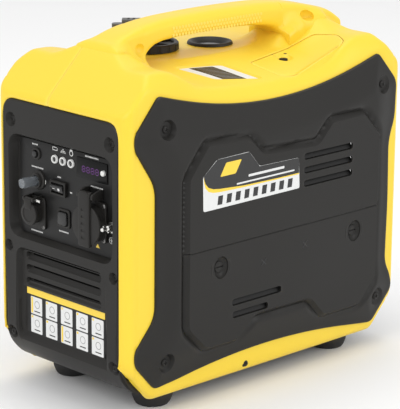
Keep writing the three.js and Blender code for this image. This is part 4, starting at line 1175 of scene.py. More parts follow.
# ---- intake louvres ------------------------------------------------------------------------
# A black insert whose three long louvres slope out and down, so rain can't run in.
LOUVRES = (0.1710, 0.1546, 0.1382)
louvre_outline = rounded_box(-0.0770, 0.0760, 0.1305, 0.1772, 0.003)


def louvre_inset(points):
    inset = np.full(len(points), 0.0062)
    for middle in LOUVRES:
        shape = rounded_box(-0.0700, 0.0675, middle - 0.0052, middle + 0.0052, 0.0051, 8)
        into = depth_into(points, shape)
        rise = np.clip((points[:, 1] - (middle - 0.0052)) / 0.0104, 0, 1)
        inset = np.maximum(inset, 0.0062 + (0.0008 + 0.0058 * rise) * ramp(0, 0.0016, into))
    return inset


louvre_loops = [rounded_box(-0.0700 + d, 0.0675 - d, m - 0.0052 + d, m + 0.0052 - d, 0.0051 - d, 8)
                for m in LOUVRES for d in (0.0, 0.0016)]
points, faces = panel_net(dense(louvre_outline, 0.002), louvre_loops, 0.0020,
                          [rounded_box(-0.062, 0.060, m + 0.0010, m + 0.0030, 0.0009, 4)
                           for m in LOUVRES])
dip = louvre_inset(points)
louvres = walled("intake_louvre_moulding", front_point(points[:, 0], points[:, 1], dip),
                 front_point(points[:, 0], points[:, 1], dip + 0.0016), faces, *BLACK, 36)
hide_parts("intake_grille")
# A dark sheet behind the louvre slits is painted shade for the hollow behind them.
dress(slab("intake_shade_sheet", rounded_box(-0.071, 0.069, 0.134, 0.176, 0.002), "y", -0.2245, -0.2225),
                      *PLATE)

# ---- icon card -----------------------------------------------------------------------------
# A printed card below the louvres: a yellow strip and two rows of five pale cells.
CARD = -0.2313
sticker("card_strip", rounded_box(-0.0722, 0.0718, 0.1212, 0.1302, 0.0006, 2), CARD - 0.0003,
        CARD + 0.0006, label_yellow, "yellow_shell", "y")
sticker("card_field", rounded_box(-0.0722, 0.0718, 0.0718, 0.1208, 0.0010, 2), CARD - 0.0001,
        CARD + 0.0006, dark_plate_finish, "dark_plate", "y")
grey_print = moulded("print_grey", (0.30, 0.30, 0.30), (0.3, 0.3, 0.3), 0.4, dust=0.0,
                     grain_depth=0.05)
for column in range(5):
    for row in range(2):
        x0, z0 = -0.0652 + column * 0.0283, 0.0730 + (1 - row) * 0.0238
        name = "%d_%d" % (row + 1, column + 1)
        sticker("card_cell_" + name, rounded_box(x0, x0 + 0.0212, z0, z0 + 0.0222, 0.0014, 3),
                CARD - 0.0003, CARD, label_pale, "white_plastic", "y")
        tag_high = z0 + (0.0205 if (row, column) in ((0, 0), (1, 2)) else 0.0)
        low = z0 + 0.0012 if tag_high > z0 else z0 + 0.0185
        sticker("card_tag_" + name, [(x0 + 0.0010, low), (x0 + 0.0040, low),
                                     (x0 + 0.0040, z0 + 0.0212), (x0 + 0.0010, z0 + 0.0212)],
                CARD - 0.0004, CARD - 0.0003, label_yellow, "yellow_shell", "y")
        turned("card_ring_" + name, [(0.0048, 0), (0.0048, 0.0001), (0.0040, 0.0001), (0.0040, 0),
                                     (0.0048, 0)],
               grey_print, "frame_body", "dark_plate", (x0 + 0.0118, CARD - 0.0003, z0 + 0.0128),
               FACING["-Y"], 28)
        sticker("card_bar_" + name, rounded_box(x0 + 0.0065, x0 + 0.0175, z0 + 0.0032, z0 + 0.0046,
                                                0.0005, 2),
                CARD - 0.0004, CARD - 0.0003, gloss_black, "dark_plate", "y")

# ---- control plate -------------------------------------------------------------------------
# A thin black sheet with a fine silk-screened print, screwed into the tray from behind.
FACE = -0.2316
print_white = moulded("print_white", (0.62, 0.62, 0.60), (0.7, 0.7, 0.7), 0.4, dust=0.0,
                      grain_depth=0.05)
RESET, BREAKER, METER_BUTTON, GROUND = (-0.0505, 0.3015), (-0.0466, 0.2695), (0.0720,
        0.3004), (0.0845, 0.2375)
LAMPS = (-0.0165, -0.00175, 0.0130)
plate = slab("control_plate_sheet", rounded_box(-0.0820, 0.0905, 0.1990, 0.3175, 0.006), "y", FACE,
             FACE + 0.0022, 0.0003, 2)
for (x, z), r in ((RESET, 0.0044), (BREAKER, 0.0064), (METER_BUTTON, 0.0038), (GROUND, 0.0029),
                  ((0.0564, 0.238), 0.0196), ((-0.050, 0.229), 0.0130),
                  *(((x, 0.3009), 0.0054) for x in LAMPS)):
    cut(plate, slab("hole", circle(x, z, r, 32), "y", FACE - 0.004, FACE + 0.006))
cut(plate, slab("hole", rounded_box(-0.0206, 0.0034, 0.2595, 0.2735, 0.001), "y", FACE - 0.004,
                FACE + 0.006),
    slab("hole", rounded_box(-0.0096, 0.0086, 0.2219, 0.2401, 0.003), "y", FACE - 0.004,
         FACE + 0.006))
dress(plate, *PLATE)
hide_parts("control_plate")


def printed(name, outline):
    sticker("print_" + name, outline, FACE - 0.0002, FACE, print_white, "white_plastic", "y")


for k, (x0, x1, z) in enumerate([(-0.0585, -0.0470, 0.3125), (-0.0600, -0.0360, 0.2845),
                                 (-0.0120, -0.0050, 0.2800), (0.0380, 0.0640, 0.3150),
                                 (0.0480, 0.0700, 0.2805), (0.0105, 0.0170, 0.2650),
                                 (-0.0620, -0.0380, 0.2045), (-0.0100, 0.0090, 0.2140)]):
    step = 0.0022
    for letter in range(int((x1 - x0) / step)):
        x = x0 + letter * step
        printed("bar_%d_%d" % (k, letter), rounded_box(x, x + 0.0014, z - 0.0009, z + 0.0009,
                                                       0.0002, 1))
printed("run_mark", rounded_box(-0.0365, -0.0340, 0.2665, 0.2715, 0.0003, 1))
for k, x in enumerate(LAMPS):
    if k == 0:
        printed("engine_0", rounded_box(x - 0.0040, x + 0.0040, 0.3115, 0.3123, 0.0002, 1))
        printed("engine_1", rounded_box(x - 0.0030, x + 0.0030, 0.3150, 0.3158, 0.0002, 1))
        printed("engine_2", rounded_box(x - 0.0045, x - 0.0037, 0.3115, 0.3158, 0.0002, 1))
        printed("engine_3", rounded_box(x + 0.0037, x + 0.0045, 0.3115, 0.3150, 0.0002, 1))
    elif k == 1:
        for j, (a, b) in enumerate(((-0.0035, 0.3115), (0.0, 0.3115), (0.0035, 0.3115),
                                    (0.0, 0.3150))):
            printed("load_%d" % j, circle(x + a, b, 0.0009, 12))
        printed("load_bar", rounded_box(x - 0.0035, x + 0.0035, 0.3128, 0.3135, 0.0002, 1))
    else:
        ring = circle(x, 0.3130, 0.0034, 24)
        printed("drop", [(a, b + (0.0016 if b > 0.3155 else 0)) for a, b in ring][::2])
        sticker("print_drop_core", circle(x, 0.3130, 0.0024, 18), FACE - 0.0003, FACE - 0.0002,
                dark_plate_finish, "dark_plate", "y")

# ---- buttons, lamps and meter --------------------------------------------------------------
# Small bought-in parts: sealed push buttons, ringed lamps, a four-figure meter and a rocker.
turned("reset_collar", [(0.0075, 0.0), (0.0075, 0.0016), (0.0066, 0.0024), (0.0052, 0.0024),
                        (0.0047, 0.0018), (0.0047, 0.0), (0.0075, 0.0)], *BLACK,
       (RESET[0], FACE, RESET[1]), FACING["-Y"], 36)
reset = turned("reset_button_cap", soft_disc(0.0039, -0.0035, 0.0048, 0.0010), gloss_black,
               "reset_button_body", "black_plastic", (RESET[0], FACE, RESET[1]), FACING["-Y"], 32)
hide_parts("reset_button")
ring = turned("breaker_collar", [(0.0118, 0.0), (0.0118, 0.0022), (0.0105, 0.0032),
                                 (0.0095, 0.0034), (0.0090, 0.0060), (0.0070, 0.0062),
                                 (0.0066, 0.0056), (0.0066, 0.0), (0.0118, 0.0)], *BLACK,
              (BREAKER[0], FACE, BREAKER[1]), FACING["-Y"], 40)
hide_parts("breaker_ring")
breaker = turned("breaker_button_cap", [(0, -0.0080), (0.0060, -0.0080), (0.0060, 0.0080),
                                        (0.0063, 0.0086), (0.0063, 0.0250), (0.0058, 0.0272),
                                        (0.0046, 0.0280), (0.0030, 0.0277), (0, 0.0274)],
                 clear_moulding, "breaker_button_body", "clear_plastic",
                 (BREAKER[0], FACE, BREAKER[1]), FACING["-Y"], 40)
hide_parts("breaker_button")
for k, x in enumerate(LAMPS):
    lamp_ring = turned("lamp_ring_%d" % (k + 1), [(0.0033, 0.0002), (0.0036, 0.0022),
                                                  (0.0046, 0.0024), (0.0052, 0.0016),
                                                  (0.0052, -0.0030), (0.0033, -0.0030),
                                                  (0.0033, 0.0002)],
                       white_moulding, "frame_body", "white_plastic", (x, FACE, 0.3009),
                       FACING["-Y"], 36)
    turned("lamp_lens_%d" % (k + 1), soft_disc(0.0032, -0.0025, 0.0012, 0.0012), gloss_black,
           "frame_body", "dark_plate", (x, FACE, 0.3009), FACING["-Y"], 28)
    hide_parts("lamp_%d" % (k + 1))
bezel = slab("rocker_bezel_frame", rounded_box(-0.0226, 0.0054, 0.2575, 0.2755, 0.0012), "y",
             FACE - 0.0040, FACE - 0.0001, 0.0006, 2)
cut(bezel, slab("hole", rounded_box(-0.0201, 0.0029, 0.2600, 0.2730, 0.0006), "y", FACE - 0.02,
                FACE + 0.01))
dress(bezel, *BLACK)
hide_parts("switch_bezel")
rocker_side = rounded([(y + FACE, z + 0.2665) for y, z in (
    (-0.0066, 0.0036), (-0.0046, -0.0040), (0, -0.0060), (0.005, -0.004), (0.005, 0.004),
    (0, 0.0060), (-0.004, 0.0047))], 0.0012, 3)
rocker = slab("rocker_cap", rocker_side, "x", -0.0196, 0.0024, 0.0004, 2)
dress(rocker, gloss_black, "economy_switch_body", "black_plastic")
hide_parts("economy_switch")
tilt = Matrix.Translation((0, FACE - 0.0059, 0.2664)) @ Matrix.Rotation(0.2575, 4, "X")
for name, outline in (("dash", rounded_box(-0.0150, -0.0110, -0.0004, 0.0004, 0.0002, 1)),
                      ("ring", circle(-0.0040, 0.0, 0.0019, 20))):
    mark = slab("rocker_mark_" + name, outline, "y", -0.0002, 0.0002)
    mark.data.transform(tilt)
    dress(mark, print_white, "economy_switch_body", "white_plastic")
boot = slab("dc_breaker_boot", rounded_box(-0.0088, 0.0078, 0.2227, 0.2393, 0.0045, 6), "y",
            FACE - 0.0048, FACE + 0.004, 0.0016, 4)
dress(boot, gloss_black, "dc_breaker_body", "black_plastic")
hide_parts("dc_breaker_button")
boot_frame = slab("dc_breaker_frame", rounded_box(-0.0122, 0.0112, 0.2193, 0.2427, 0.0050, 6), "y",
                  FACE - 0.0020, FACE - 0.0001, 0.0008, 3)
cut(boot_frame, slab("hole", rounded_box(-0.0096, 0.0086, 0.2219, 0.2401, 0.0045, 6), "y",
                     FACE - 0.01, FACE + 0.01))
dress(boot_frame, *BLACK)
meter_glass = moulded("meter_glass", (0.006, 0.006, 0.006), (0.01, 0.01, 0.01), 0.30, dust=0.0,
                      grain_depth=0.05, specular=0.12)
meter = slab("meter_window", rounded_box(0.0235, 0.0780, 0.2875, 0.3120, 0.0015), "y",
             FACE - 0.0015, FACE - 0.0001, 0.0004, 2)
cut(meter, slab("hole", circle(*METER_BUTTON, 0.0039, 28), "y", FACE - 0.01, FACE + 0.01))
dress(meter, meter_glass, "frame_body", "dark_plate")
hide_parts("voltmeter")
violet = moulded("meter_violet", (0.13, 0.016, 0.20), (0.14, 0.03, 0.22), 0.35, dust=0.0,
                 grain_depth=0.05)
SEGMENTS = [(0.0, 1.0, 0), (0.0, 0.0, 0), (0.0, -1.0, 0), (-1.0, 0.5, 1), (1.0, 0.5, 1),
            (-1.0, -0.5, 1), (1.0, -0.5, 1)]
for digit in range(4):
    for k, (u, v, stands) in enumerate(SEGMENTS):
        cx, cz = 0.0368 + digit * 0.0079 + u * 0.0024, 0.2992 + v * 0.0033
        wide, tall = (0.00042, 0.0012) if stands else (0.0017, 0.00042)
        outline = [(cx - wide, cz - tall), (cx + wide, cz - tall), (cx + wide, cz + tall),
                   (cx - wide, cz + tall)]
        sticker("meter_segment_%d_%d" % (digit, k), outline, FACE - 0.00165, FACE - 0.0015, violet,
                "dark_plate", "y")
meter_key = turned("meter_button_cap", soft_disc(0.0034, -0.0030, 0.0042, 0.0010), white_moulding,
                   "meter_button_body", "white_plastic", (METER_BUTTON[0], FACE, METER_BUTTON[1]),
                   FACING["-Y"], 32)
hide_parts("meter_button")

# ---- household socket ----------------------------------------------------------------------
# A black two-pin outlet with earth clips on a square flange; its sprung lid is a disc on a stiff
# centre spine that hinges at the top.
SOCKET = (0.0564, 0.2380)
socket = slab("mains_socket_flange", rounded_box(0.0348, 0.0780, 0.2160, 0.2650, 0.006), "y",
              FACE - 0.0040, FACE - 0.0001, 0.0010, 3)
barrel = turned("barrel", [(0.0185, 0.0130), (0.0200, 0.0136), (0.0216, 0.0120), (0.0222, 0.0020),
                           (0.0190, 0.0), (0.0190, -0.026), (0, -0.026), (0, -0.0040),
                           (0.0180, -0.0040), (0.0180, 0.0122), (0.0185, 0.0130)], None, None, None,
                (SOCKET[0], FACE, SOCKET[1]), FACING["-Y"], 56)
cut(socket, slab("bore", circle(*SOCKET, 0.0188, 48), "y", FACE - 0.02, FACE + 0.02))
cut(socket, barrel, operation="UNION")
for side in (-1, 1):
    cut(socket, slab("pin_hole", circle(SOCKET[0] + side * 0.0095, SOCKET[1], 0.0025, 20), "y",
                     FACE - 0.01, FACE + 0.018))
dress(socket, *BLACK)
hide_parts("ac_socket")
sticker("socket_mark", [(0.0562, 0.2075), (0.0632, 0.2075), (0.0597, 0.2125)], FACE - 0.0002, FACE,
        label_yellow, "yellow_shell", "y")
for k, (x, z) in enumerate(((0.0382, 0.2615), (0.0745, 0.2615), (0.0382, 0.2198),
                            (0.0745, 0.2198))):
    screw("mains_socket_screw_%d" % (k + 1), (x, FACE - 0.0040, z), "-Y", spin=k, size=0.62,
          material=dark_metal)
for side in (-1, 1):
    clip = slab("earth_clip_%s" % ("low" if side < 0 else "high"),
                rounded_box(SOCKET[0] - 0.003, SOCKET[0] + 0.003,
                            SOCKET[1] + side * 0.0172 - 0.0006, SOCKET[1] + side * 0.0172 + 0.0006,
                            0.0003), "y", FACE - 0.011, FACE + 0.003)
    dress(clip, bright_metal, "frame_body", "bright_metal")
lid = turned("socket_lid_disc", [(0, 0.0134), (0.0240, 0.0134), (0.0245, 0.0140), (0.0245, 0.0158),
                                 (0.0236, 0.0168), (0.0212, 0.0172), (0, 0.0176)], None, None, None,
             (SOCKET[0], FACE, SOCKET[1]), FACING["-Y"], 56)
spine = slab("spine", rounded([(SOCKET[0] - 0.0098, 0.2118), (SOCKET[0] + 0.0098, 0.2118),
                               (SOCKET[0] + 0.0098, 0.2790), (SOCKET[0] - 0.0098, 0.2790)],
                              [0.0030, 0.0030, 0.0090, 0.0090], 8), "y", FACE - 0.0200,
             FACE - 0.0140, 0.0016, 4)
cut(lid, spine, operation="UNION")
knuckle = slab("knuckle", circle(FACE - 0.0150, 0.2740, 0.0046, 24), "x", SOCKET[0] - 0.0100,
               SOCKET[0] + 0.0100, 0.0004, 2)
cut(lid, knuckle, operation="UNION")
for k in range(5):
    z = 0.2215 + k * 0.0085
    cut(lid, slab("finger_mark", rounded_box(SOCKET[0] - 0.0035, SOCKET[0] + 0.0035, z, z + 0.0030,
                                             0.0012, 3), "y",
                  FACE - 0.0220, FACE - 0.0196))
dress(lid, black_moulding, "socket_lid_body", "black_plastic")
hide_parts("socket_lid")
for side in (-1, 1):
    ear = slab("lid_hinge_ear_%s" % ("l" if side < 0 else "r"), rounded(
        [(FACE - 0.0180, 0.2762), (FACE - 0.0060, 0.2800), (FACE - 0.0001, 0.2795),
         (FACE - 0.0001, 0.2660), (FACE - 0.0120, 0.2690), (FACE - 0.0185, 0.2705)], 0.0018, 3),
               "x",
        SOCKET[0] + side * 0.0122 - 0.0016, SOCKET[0] + side * 0.0122 + 0.0016, 0.0004, 2)
    dress(ear, *BLACK)

# ---- direct-current socket -----------------------------------------------------------------
# A smaller round outlet on its own flange, with a flap that hinges above it.
DC = (-0.0500, 0.2290)
dc = slab("dc_socket_flange", rounded_box(-0.0670, -0.0330, 0.2090, 0.2490, 0.006), "y",
          FACE - 0.0030, FACE - 0.0001, 0.0008, 3)
dc_barrel = turned("barrel", [(0.0098, 0.0096), (0.0110, 0.0100), (0.0124, 0.0090),
                              (0.0128, 0.0010), (0.0125, 0.0), (0.0125, -0.014), (0, -0.014),
                              (0, -0.0080), (0.0095, -0.0080), (0.0095, 0.0090), (0.0098, 0.0096)],
                   None, None, None, (DC[0], FACE, DC[1]), FACING["-Y"], 44)
cut(dc, slab("bore", circle(*DC, 0.0124, 40), "y", FACE - 0.02, FACE + 0.02))
cut(dc, dc_barrel, operation="UNION")
dress(dc, *BLACK)
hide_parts("dc_socket")
for k, (x, z) in enumerate(((-0.0638, 0.2125), (-0.0362, 0.2125))):
    screw("dc_socket_screw_%d" % (k + 1), (x, FACE - 0.0030, z), "-Y", spin=k, size=0.55,
          material=dark_metal)
flap = turned("dc_flap_disc", [(0, 0.0105), (0.0130, 0.0105), (0.0140, 0.0112), (0.0140, 0.0142),
                               (0.0132, 0.0152), (0.0100, 0.0156), (0.0094, 0.0148), (0, 0.0148)],
              None, None, None, (DC[0], FACE, DC[1]), FACING["-Y"], 44)
arm = slab("arm", rounded_box(DC[0] - 0.0060, DC[0] + 0.0060, DC[1] + 0.0060, DC[1] + 0.0195,
                              0.0015), "y",
           FACE - 0.0160, FACE - 0.0106, 0.0008, 2)
cut(flap, arm, slab("pin", circle(FACE - 0.0130, DC[1] + 0.0180, 0.0027, 20), "x", DC[0] - 0.0062,
                    DC[0] + 0.0062),
    operation="UNION")
dress(flap, black_moulding, "dc_cap_body", "black_plastic")
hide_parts("dc_cap")
for side in (-1, 1):
    ear = slab("flap_ear_%s" % ("l" if side < 0 else "r"), rounded(
        [(FACE - 0.0158, 0.2500), (FACE - 0.0001, 0.2512), (FACE - 0.0001, 0.2440),
         (FACE - 0.0158, 0.2448)], 0.0016, 3),
        "x", DC[0] + side * 0.0082 - 0.0013, DC[0] + side * 0.0082 + 0.0013, 0.0003, 2)
    dress(ear, *BLACK)
turned("flap_spring", [(0.0016, -0.0062), (0.0019, -0.0060), (0.0019, 0.0060), (0.0016, 0.0062),
                       (0.0016, -0.0062)],
                bright_metal, "frame_body", "bright_metal", (DC[0] + 0.0125, FACE - 0.0108, 0.2470),
                FACING["+X"], 20)

# ---- ground terminal -----------------------------------------------------------------------
# A plated stud with a wing nut over a toothed washer, next to a printed earth mark.
stud = turned("ground_stud_bar", [(0, 0.0160), (0.0018, 0.0160), (0.0025, 0.0152),
                                  (0.0025, -0.0080), (0, -0.0080)],
              bright_metal, "frame_body", "bright_metal", (GROUND[0], FACE, GROUND[1]),
              FACING["-Y"], 24)
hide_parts("ground_stud")
turned("ground_washer", [(0.0029, 0.0), (0.0068, 0.0), (0.0068, 0.0010), (0.0058, 0.0016),
                         (0.0029, 0.0018), (0.0029, 0.0)],
       bright_metal, "frame_body", "bright_metal", (GROUND[0], FACE, GROUND[1]), FACING["-Y"], 30)
nut = turned("ground_wing_nut", [(0.0028, 0.0030), (0.0048, 0.0030), (0.0044, 0.0062),
                                 (0.0032, 0.0092), (0.0028, 0.0095), (0.0028, 0.0030)], None, None,
             None, (GROUND[0], FACE, GROUND[1]), FACING["-Y"], 28)
for side in (-1, 1):
    wing = slab("wing", rounded([(0.0030 * side, 0.0045), (0.0058 * side, 0.0062),
                                 (0.0066 * side, 0.0102), (0.0048 * side, 0.0108),
                                 (0.0029 * side, 0.0078)], 0.0009, 3), "x", -0.0007, 0.0007)
    wing.data.transform(Matrix.Translation((GROUND[0], FACE, GROUND[1])) @ Matrix.Rotation(0.5, 4,
            "Y")
                        @ Matrix(((0, 1, 0, 0), (0, 0, -1, 0), (1, 0, 0, 0), (0, 0, 0, 1))))
    cut(nut, wing, operation="UNION")
dress(nut, bright_metal, "ground_nut_body", "bright_metal")
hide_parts("ground_nut")
turned("print_earth_ring", [(0.0040, 0), (0.0040, 0.0002), (0.0034, 0.0002), (0.0034, 0),
                            (0.0040, 0)], print_white,
       "frame_body", "white_plastic", (0.0840, FACE, 0.2215), FACING["-Y"], 28)
for k, (half, z) in enumerate(((0.0022, 0.2218), (0.0014, 0.2206), (0.0006, 0.2195))):
    printed("earth_%d" % k, rounded_box(0.0840 - half, 0.0840 + half, z - 0.0003, z + 0.0003,
                                        0.0001, 1))
printed("earth_stem", rounded_box(0.0837, 0.0843, 0.2218, 0.2240, 0.0001, 1))

# ---- filler cap, vent lever and fuel gauge -------------------------------------------------
# On the oval deck under the handle: a black bayonet cap with a vent lever on its hub, and a
# round dial under a clear lens.
cap_profile = [(0, 0.3970), (0.0254, 0.3970), (0.0255, 0.4056), (0.0395, 0.4056), (0.0400, 0.4062),
               (0.0396, 0.4138), (0.0382, 0.4152), (0.0345, 0.4152), (0.0335, 0.4140),
               (0.0330, 0.4115), (0.0160, 0.4118), (0.0150, 0.4130), (0.0142, 0.4290),
               (0.0130, 0.4308), (0, 0.4308)]
cap = turned("fuel_cap_moulding", cap_profile, None, None, None, (*CAP, 0), "Z", 72)
for k in range(6):
    a = k * math.pi / 3 + 0.35
    web = slab("web", [(CAP[0] + r * math.cos(a) + w * math.sin(a),
                        CAP[1] + r * math.sin(a) - w * math.cos(a))
                       for r, w in ((0.012, 0.0013), (0.0345, 0.0013), (0.0345, -0.0013),
                                    (0.012, -0.0013))],
               "z", 0.4100, 0.4142)
    cut(cap, web, operation="UNION")
for k in range(18):
    a = k * math.pi / 9
    cut(cap, slab("flute", circle(CAP[0] + 0.0411 * math.cos(a), CAP[1] + 0.0411 * math.sin(a),
                                  0.0019, 12), "z",
                  0.4075, 0.4170))
dress(cap, black_moulding, "fuel_cap_body", "black_plastic")
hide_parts("fuel_cap")
lever = slab("vent_lever_moulding", rounded([(-0.0120, -0.0085), (0.0300, -0.0080),
                                             (0.0430, -0.0058), (0.0440, 0.0058), (0.0300, 0.0080),
                                             (-0.0120, 0.0085)],
                                            [0.007, 0.004, 0.004, 0.004, 0.004, 0.007], 6), "z",
             0.4314, 0.4428, 0.0016, 3)
step_cut = slab("step", rounded_box(0.0310, 0.0500, -0.0120, 0.0120, 0.001), "z", 0.4368, 0.4480,
                0.0005, 2)
cut(lever, step_cut)
for k in range(4):
    cut(lever, slab("grip", rounded_box(0.0020 + k * 0.0065, 0.0050 + k * 0.0065, -0.0060, 0.0060,
                                        0.001), "z", 0.4418, 0.4450))
lever.data.transform(Matrix.Translation((*CAP, 0)) @ Matrix.Rotation(math.pi * 1.25, 4, "Z"))
dress(lever, grey_moulding, "vent_lever_body", "grey_plastic")
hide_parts("vent_lever")
gauge = turned("fuel_gauge_bezel", [(0.0168, 0.4012), (0.0186, 0.4046), (0.0215, 0.4062),
                                    (0.0240, 0.4086), (0.0256, 0.4091), (0.0276, 0.4086),
                                    (0.0289, 0.4068), (0.0290, 0.4055), (0.0200, 0.4053),
                                    (0.0200, 0.3962), (0, 0.3962), (0, 0.4012), (0.0168, 0.4012)],
               *BLACK, (*GAUGE, 0), "Z", 72)
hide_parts("fuel_gauge")
turned("fuel_gauge_dial", soft_disc(0.0160, 0.4013, 0.4022, 0.0002), *PLATE,
              (*GAUGE, 0), "Z", 48)
for k in range(9):
    a = math.radians(150 - k * 15)
    sticker("gauge_tick_%d" % (k + 1), [(GAUGE[0] + r * math.cos(a) + w * math.sin(a),
                                         GAUGE[1] + r * math.sin(a) - w * math.cos(a))
                                        for r, w in ((0.0115, 0.0004), (0.0145, 0.0004),
                                                     (0.0145, -0.0004), (0.0115, -0.0004))], 0.4022,
            0.40235, label_pale, "white_plastic", "z")
sticker("gauge_needle", [(GAUGE[0] - 0.0006, GAUGE[1] - 0.002),
                         (GAUGE[0] + 0.0006, GAUGE[1] - 0.002),
                                  (GAUGE[0] + 0.0052, GAUGE[1] + 0.0100)], 0.4024, 0.4028,
        label_yellow, "yellow_shell", "z")
dial_lens = moulded("dial_lens", (0.05, 0.05, 0.055), (0.1, 0.1, 0.1), 0.12, dust=0.0,
                    grain_depth=0.05, specular=0.3, transmission=0.5)
lens = turned("fuel_gauge_lens", [(0, 0.4034), (0.0166, 0.4034), (0.0166, 0.4041), (0.0120, 0.4049),
                                  (0, 0.4053)],
              dial_lens, "frame_body", "clear_plastic", (*GAUGE, 0), "Z", 48)
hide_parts("gauge_lens")

# ---- label in the top pocket ---------------------------------------------------------------
# A white card with black bars and a pale end, laid in the slanted pocket beside the handle.
label_outline = np.array([(0.0350, -0.0862), (0.0510, -0.0208), (0.0948, 0.0044),
                          (0.0814, -0.0634)])
near, far = label_outline[[0, 3]], label_outline[[1, 2]]


def on_label(name, u0, u1, v0, v1, lift, material, slot):
    """A printed patch between fractions of the label's length u and width v."""
    u, v = np.meshgrid(np.linspace(u0, u1, 12), np.linspace(v0, v1, 12), indexing="ij")
    start, end = near[0] + (far[0] - near[0]) * u[..., None], near[1] + (far[1] - near[1]) * u[...,
            None]
    flat = (start + (end - start) * v[..., None]).reshape(-1, 2)
    faces = [(i * 12 + k, (i + 1) * 12 + k, (i + 1) * 12 + k + 1, i * 12 + k + 1)
             for i in range(11) for k in range(11)]
    top = skin_point(flat[:, 0], flat[:, 1], np.full(len(flat), 0.0026 - lift))
    return walled(name, top, skin_point(flat[:, 0], flat[:, 1], np.full(len(flat), 0.0029)), faces,
                  material, "frame_body", slot, 30)


on_label("pocket_label", 0.0, 1.0, 0.0, 1.0, 0.0, label_pale, "white_plastic")
on_label("pocket_label_bar", 0.27, 0.76, 0.04, 0.93, 0.0001, gloss_black, "dark_plate")
for k in range(9):
    on_label("pocket_label_line_%d" % (k + 1), 0.32, 0.71, 0.11 + k * 0.088, 0.125 + k * 0.088,
             0.0002, grey_print, "dark_plate")

# ---- rear panel and exhaust ----------------------------------------------------------------
# The rear black moulding mirrors the front one; seven outlet slots above, and a steel spark
# arrestor low on the left that lets the exhaust out.
EXHAUST = (-0.052, 0.118)
rear_slots = [rounded_box(-0.078, 0.078, 0.196 + 0.018 * k, 0.204 + 0.018 * k, 0.0039, 6)
              for k in range(7)]
rear_screws = [(s * 0.0945, z, 0.0080) for z in (0.0700, 0.3385) for s in (-1, 1)] + [
    (s * 0.0955, 0.1795, 0.0068) for s in (-1, 1)]
points, faces = panel_net(
    dense(panel_outline, 0.003),
    [offset_outline(panel_outline, -0.0018), circle(*EXHAUST, 0.0300, 48),
     circle(*EXHAUST, 0.0275, 48), *(offset_outline(s, 0.0016) for s in rear_slots),
     *(circle(x, z, r * s, 24) for x, z, r in rear_screws for s in (0.58, 0.79, 1.0))], 0.0034,
    [*rear_slots, circle(*EXHAUST, 0.0245, 48)])
dip = 0.0014 * (1 - np.sqrt(np.maximum(0, 1 - np.clip(1 - depth_into(points,
        panel_outline) / 0.0018, 0, 1) ** 2)))
near_slot = np.max([depth_into(points, s) for s in rear_slots], axis=0)
dip += 0.0012 * ramp(-0.0016, 0.0, near_slot)
to_pipe = np.hypot(points[:, 0] - EXHAUST[0], points[:, 1] - EXHAUST[1])
dip = np.maximum(dip, 0.0040 * (1 - ramp(0.0275, 0.0300, to_pipe)))
dip = screw_pits(points, dip, rear_screws)
turn_back = np.array([1, -1, 1])
rear_panel = walled("rear_panel_moulding", front_point(points[:, 0], points[:, 1], dip) * turn_back,
                    front_point(points[:, 0], points[:, 1], dip + 0.0026) * turn_back, faces,
                    *BLACK, 36)
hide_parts("rear_panel")
for k, (x, z, r) in enumerate(rear_screws):
    screw("rear_panel_screw_%d" % (k + 1), (x, 0.2352, z), "+Y", spin=0.5 + k, size=0.85)
outlet = turned("spark_arrestor_outlet", [(0.0090, 0.2280), (0.0090, 0.2592), (0.0095, 0.2596),
                                          (0.0115, 0.2596), (0.0120, 0.2590), (0.0121, 0.2375),
                                          (0.0135, 0.2368), (0.0215, 0.2362), (0.0234, 0.2350),
                                          (0.0236, 0.2290), (0.0120, 0.2280), (0.0090, 0.2280)],
                dark_metal, "frame_body", "dark_steel", (EXHAUST[0], 0, EXHAUST[1]), FACING["+Y"],
                56)
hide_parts("spark_arrestor")
for k in range(3):
    a = k * 2 * math.pi / 3 + 0.5
    screw("spark_arrestor_screw_%d" % (k + 1), (EXHAUST[0] + 0.0175 * math.cos(a), 0.2368,
                                                EXHAUST[1] + 0.0175 * math.sin(a)),
          "+Y", spin=k, size=0.5, material=bright_metal)

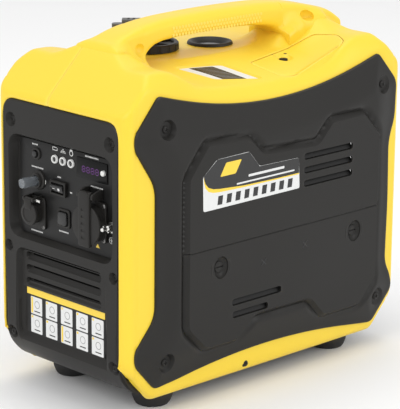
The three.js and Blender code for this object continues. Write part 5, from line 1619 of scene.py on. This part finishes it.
# ---- base tray and feet --------------------------------------------------------------------
# A ribbed black tray closes the underside; four moulded rubber feet are screwed up into it.
tray_outline = rounded_box(-0.1040, 0.1040, -0.1735, 0.1735, 0.010, 6)
tray = slab("base_tray_moulding", tray_outline, "z", 0.0198, 0.0560, 0.0020, 3)
cut(tray, slab("hollow", offset_outline(tray_outline, -0.0035), "z", 0.0236, 0.0700))
for k in range(6):
    y = -0.0750 + k * 0.0300
    cut(tray, slab("drain", rounded_box(-0.0420, 0.0420, y - 0.0030, y + 0.0030, 0.0029), "z",
                   0.0100, 0.0300))
for side in (-1, 1):
    cut(tray, slab("rib", rounded_box(side * 0.052 - 0.0012, side * 0.052 + 0.0012, -0.1700, 0.1700,
                                      0.001), "z", 0.0230,
                   0.0380), operation="UNION")
dress(tray, *BLACK)
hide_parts("base_tray")
for name, sx, sy in (("front_left", -1, -1), ("front_right", 1, -1), ("rear_left", -1, 1),
                     ("rear_right", 1, 1)):
    pad = turned("foot_pad_" + name, [(0.0070, 0.0060), (0.0070, 0.0006), (0.0076, 0.0),
                                      (0.0185, 0.0), (0.0205, 0.0008), (0.0226, 0.0040),
                                      (0.0240, 0.0080), (0.0247, 0.0100), (0.0250, 0.0115),
                                      (0.0250, 0.0194), (0, 0.0194), (0, 0.0060), (0.0070, 0.0060)],
                 rubber_finish, "frame_body", "foot_rubber", (sx * 0.0735, sy * 0.157, 0), "Z", 48)
    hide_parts("foot_" + name)
    turned("foot_washer_" + name, soft_disc(0.0062, 0.0044, 0.0060, 0.0004), bright_metal,
           "frame_body", "bright_metal", (sx * 0.0735, sy * 0.157, 0), "Z", 28)
    turned("foot_bolt_" + name, [(0, 0.0014), (0.0030, 0.0014), (0.0036, 0.0020), (0.0036, 0.0046),
                                 (0, 0.0046)],
           dark_metal, "frame_body", "dark_steel", (sx * 0.0735, sy * 0.157, 0), "Z", 6)

# ---- sill screws and door marks ------------------------------------------------------------
# A black screw low on each yellow flank ties the shell to the tray; its teardrop seat is a dark
# patch of painted shade. Two small crosses are moulded on the service door between its fasteners.
for name, side in (("right", 1), ("left", -1)):
    seat_shade_outline = rounded([(-0.0452, 0.0290), (-0.0370, 0.0285), (-0.0338, 0.0350),
                          (-0.0345, 0.0395), (-0.0400, 0.0375), (-0.0452, 0.0335)], 0.0026, 5)
    # A flat patch of painted shade stands in for the screw's teardrop recess.
    sticker("sill_seat_shade_" + name, seat_shade_outline, min(side * 0.1140, side * 0.1174),
            max(side * 0.1140, side * 0.1174), dark_plate_finish, "dark_plate", "x")
    screw("sill_screw_" + name, (side * 0.1172, -0.0400, 0.0330), "+X" if side > 0 else "-X",
          spin=0.4, size=0.8)
for k, (y, z) in enumerate(((-0.0230, 0.1630), (0.0500, 0.1715))):
    x = float(door_height(np.array([[y, z]]))[0])
    for lean in (-1, 1):
        sticker("door_cross_%d_%s" % (k + 1, "a" if lean < 0 else "b"),
                [(y - 0.0045, z - 0.0045 * lean - 0.0007), (y + 0.0045, z + 0.0045 * lean - 0.0007),
                 (y + 0.0045, z + 0.0045 * lean + 0.0007),
                 (y - 0.0045, z - 0.0045 * lean + 0.0007)],
                x - 0.0004, x + 0.0002 + 0.00003 * lean, gloss_black, "dark_plate", "x",
                body="door")

low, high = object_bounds()
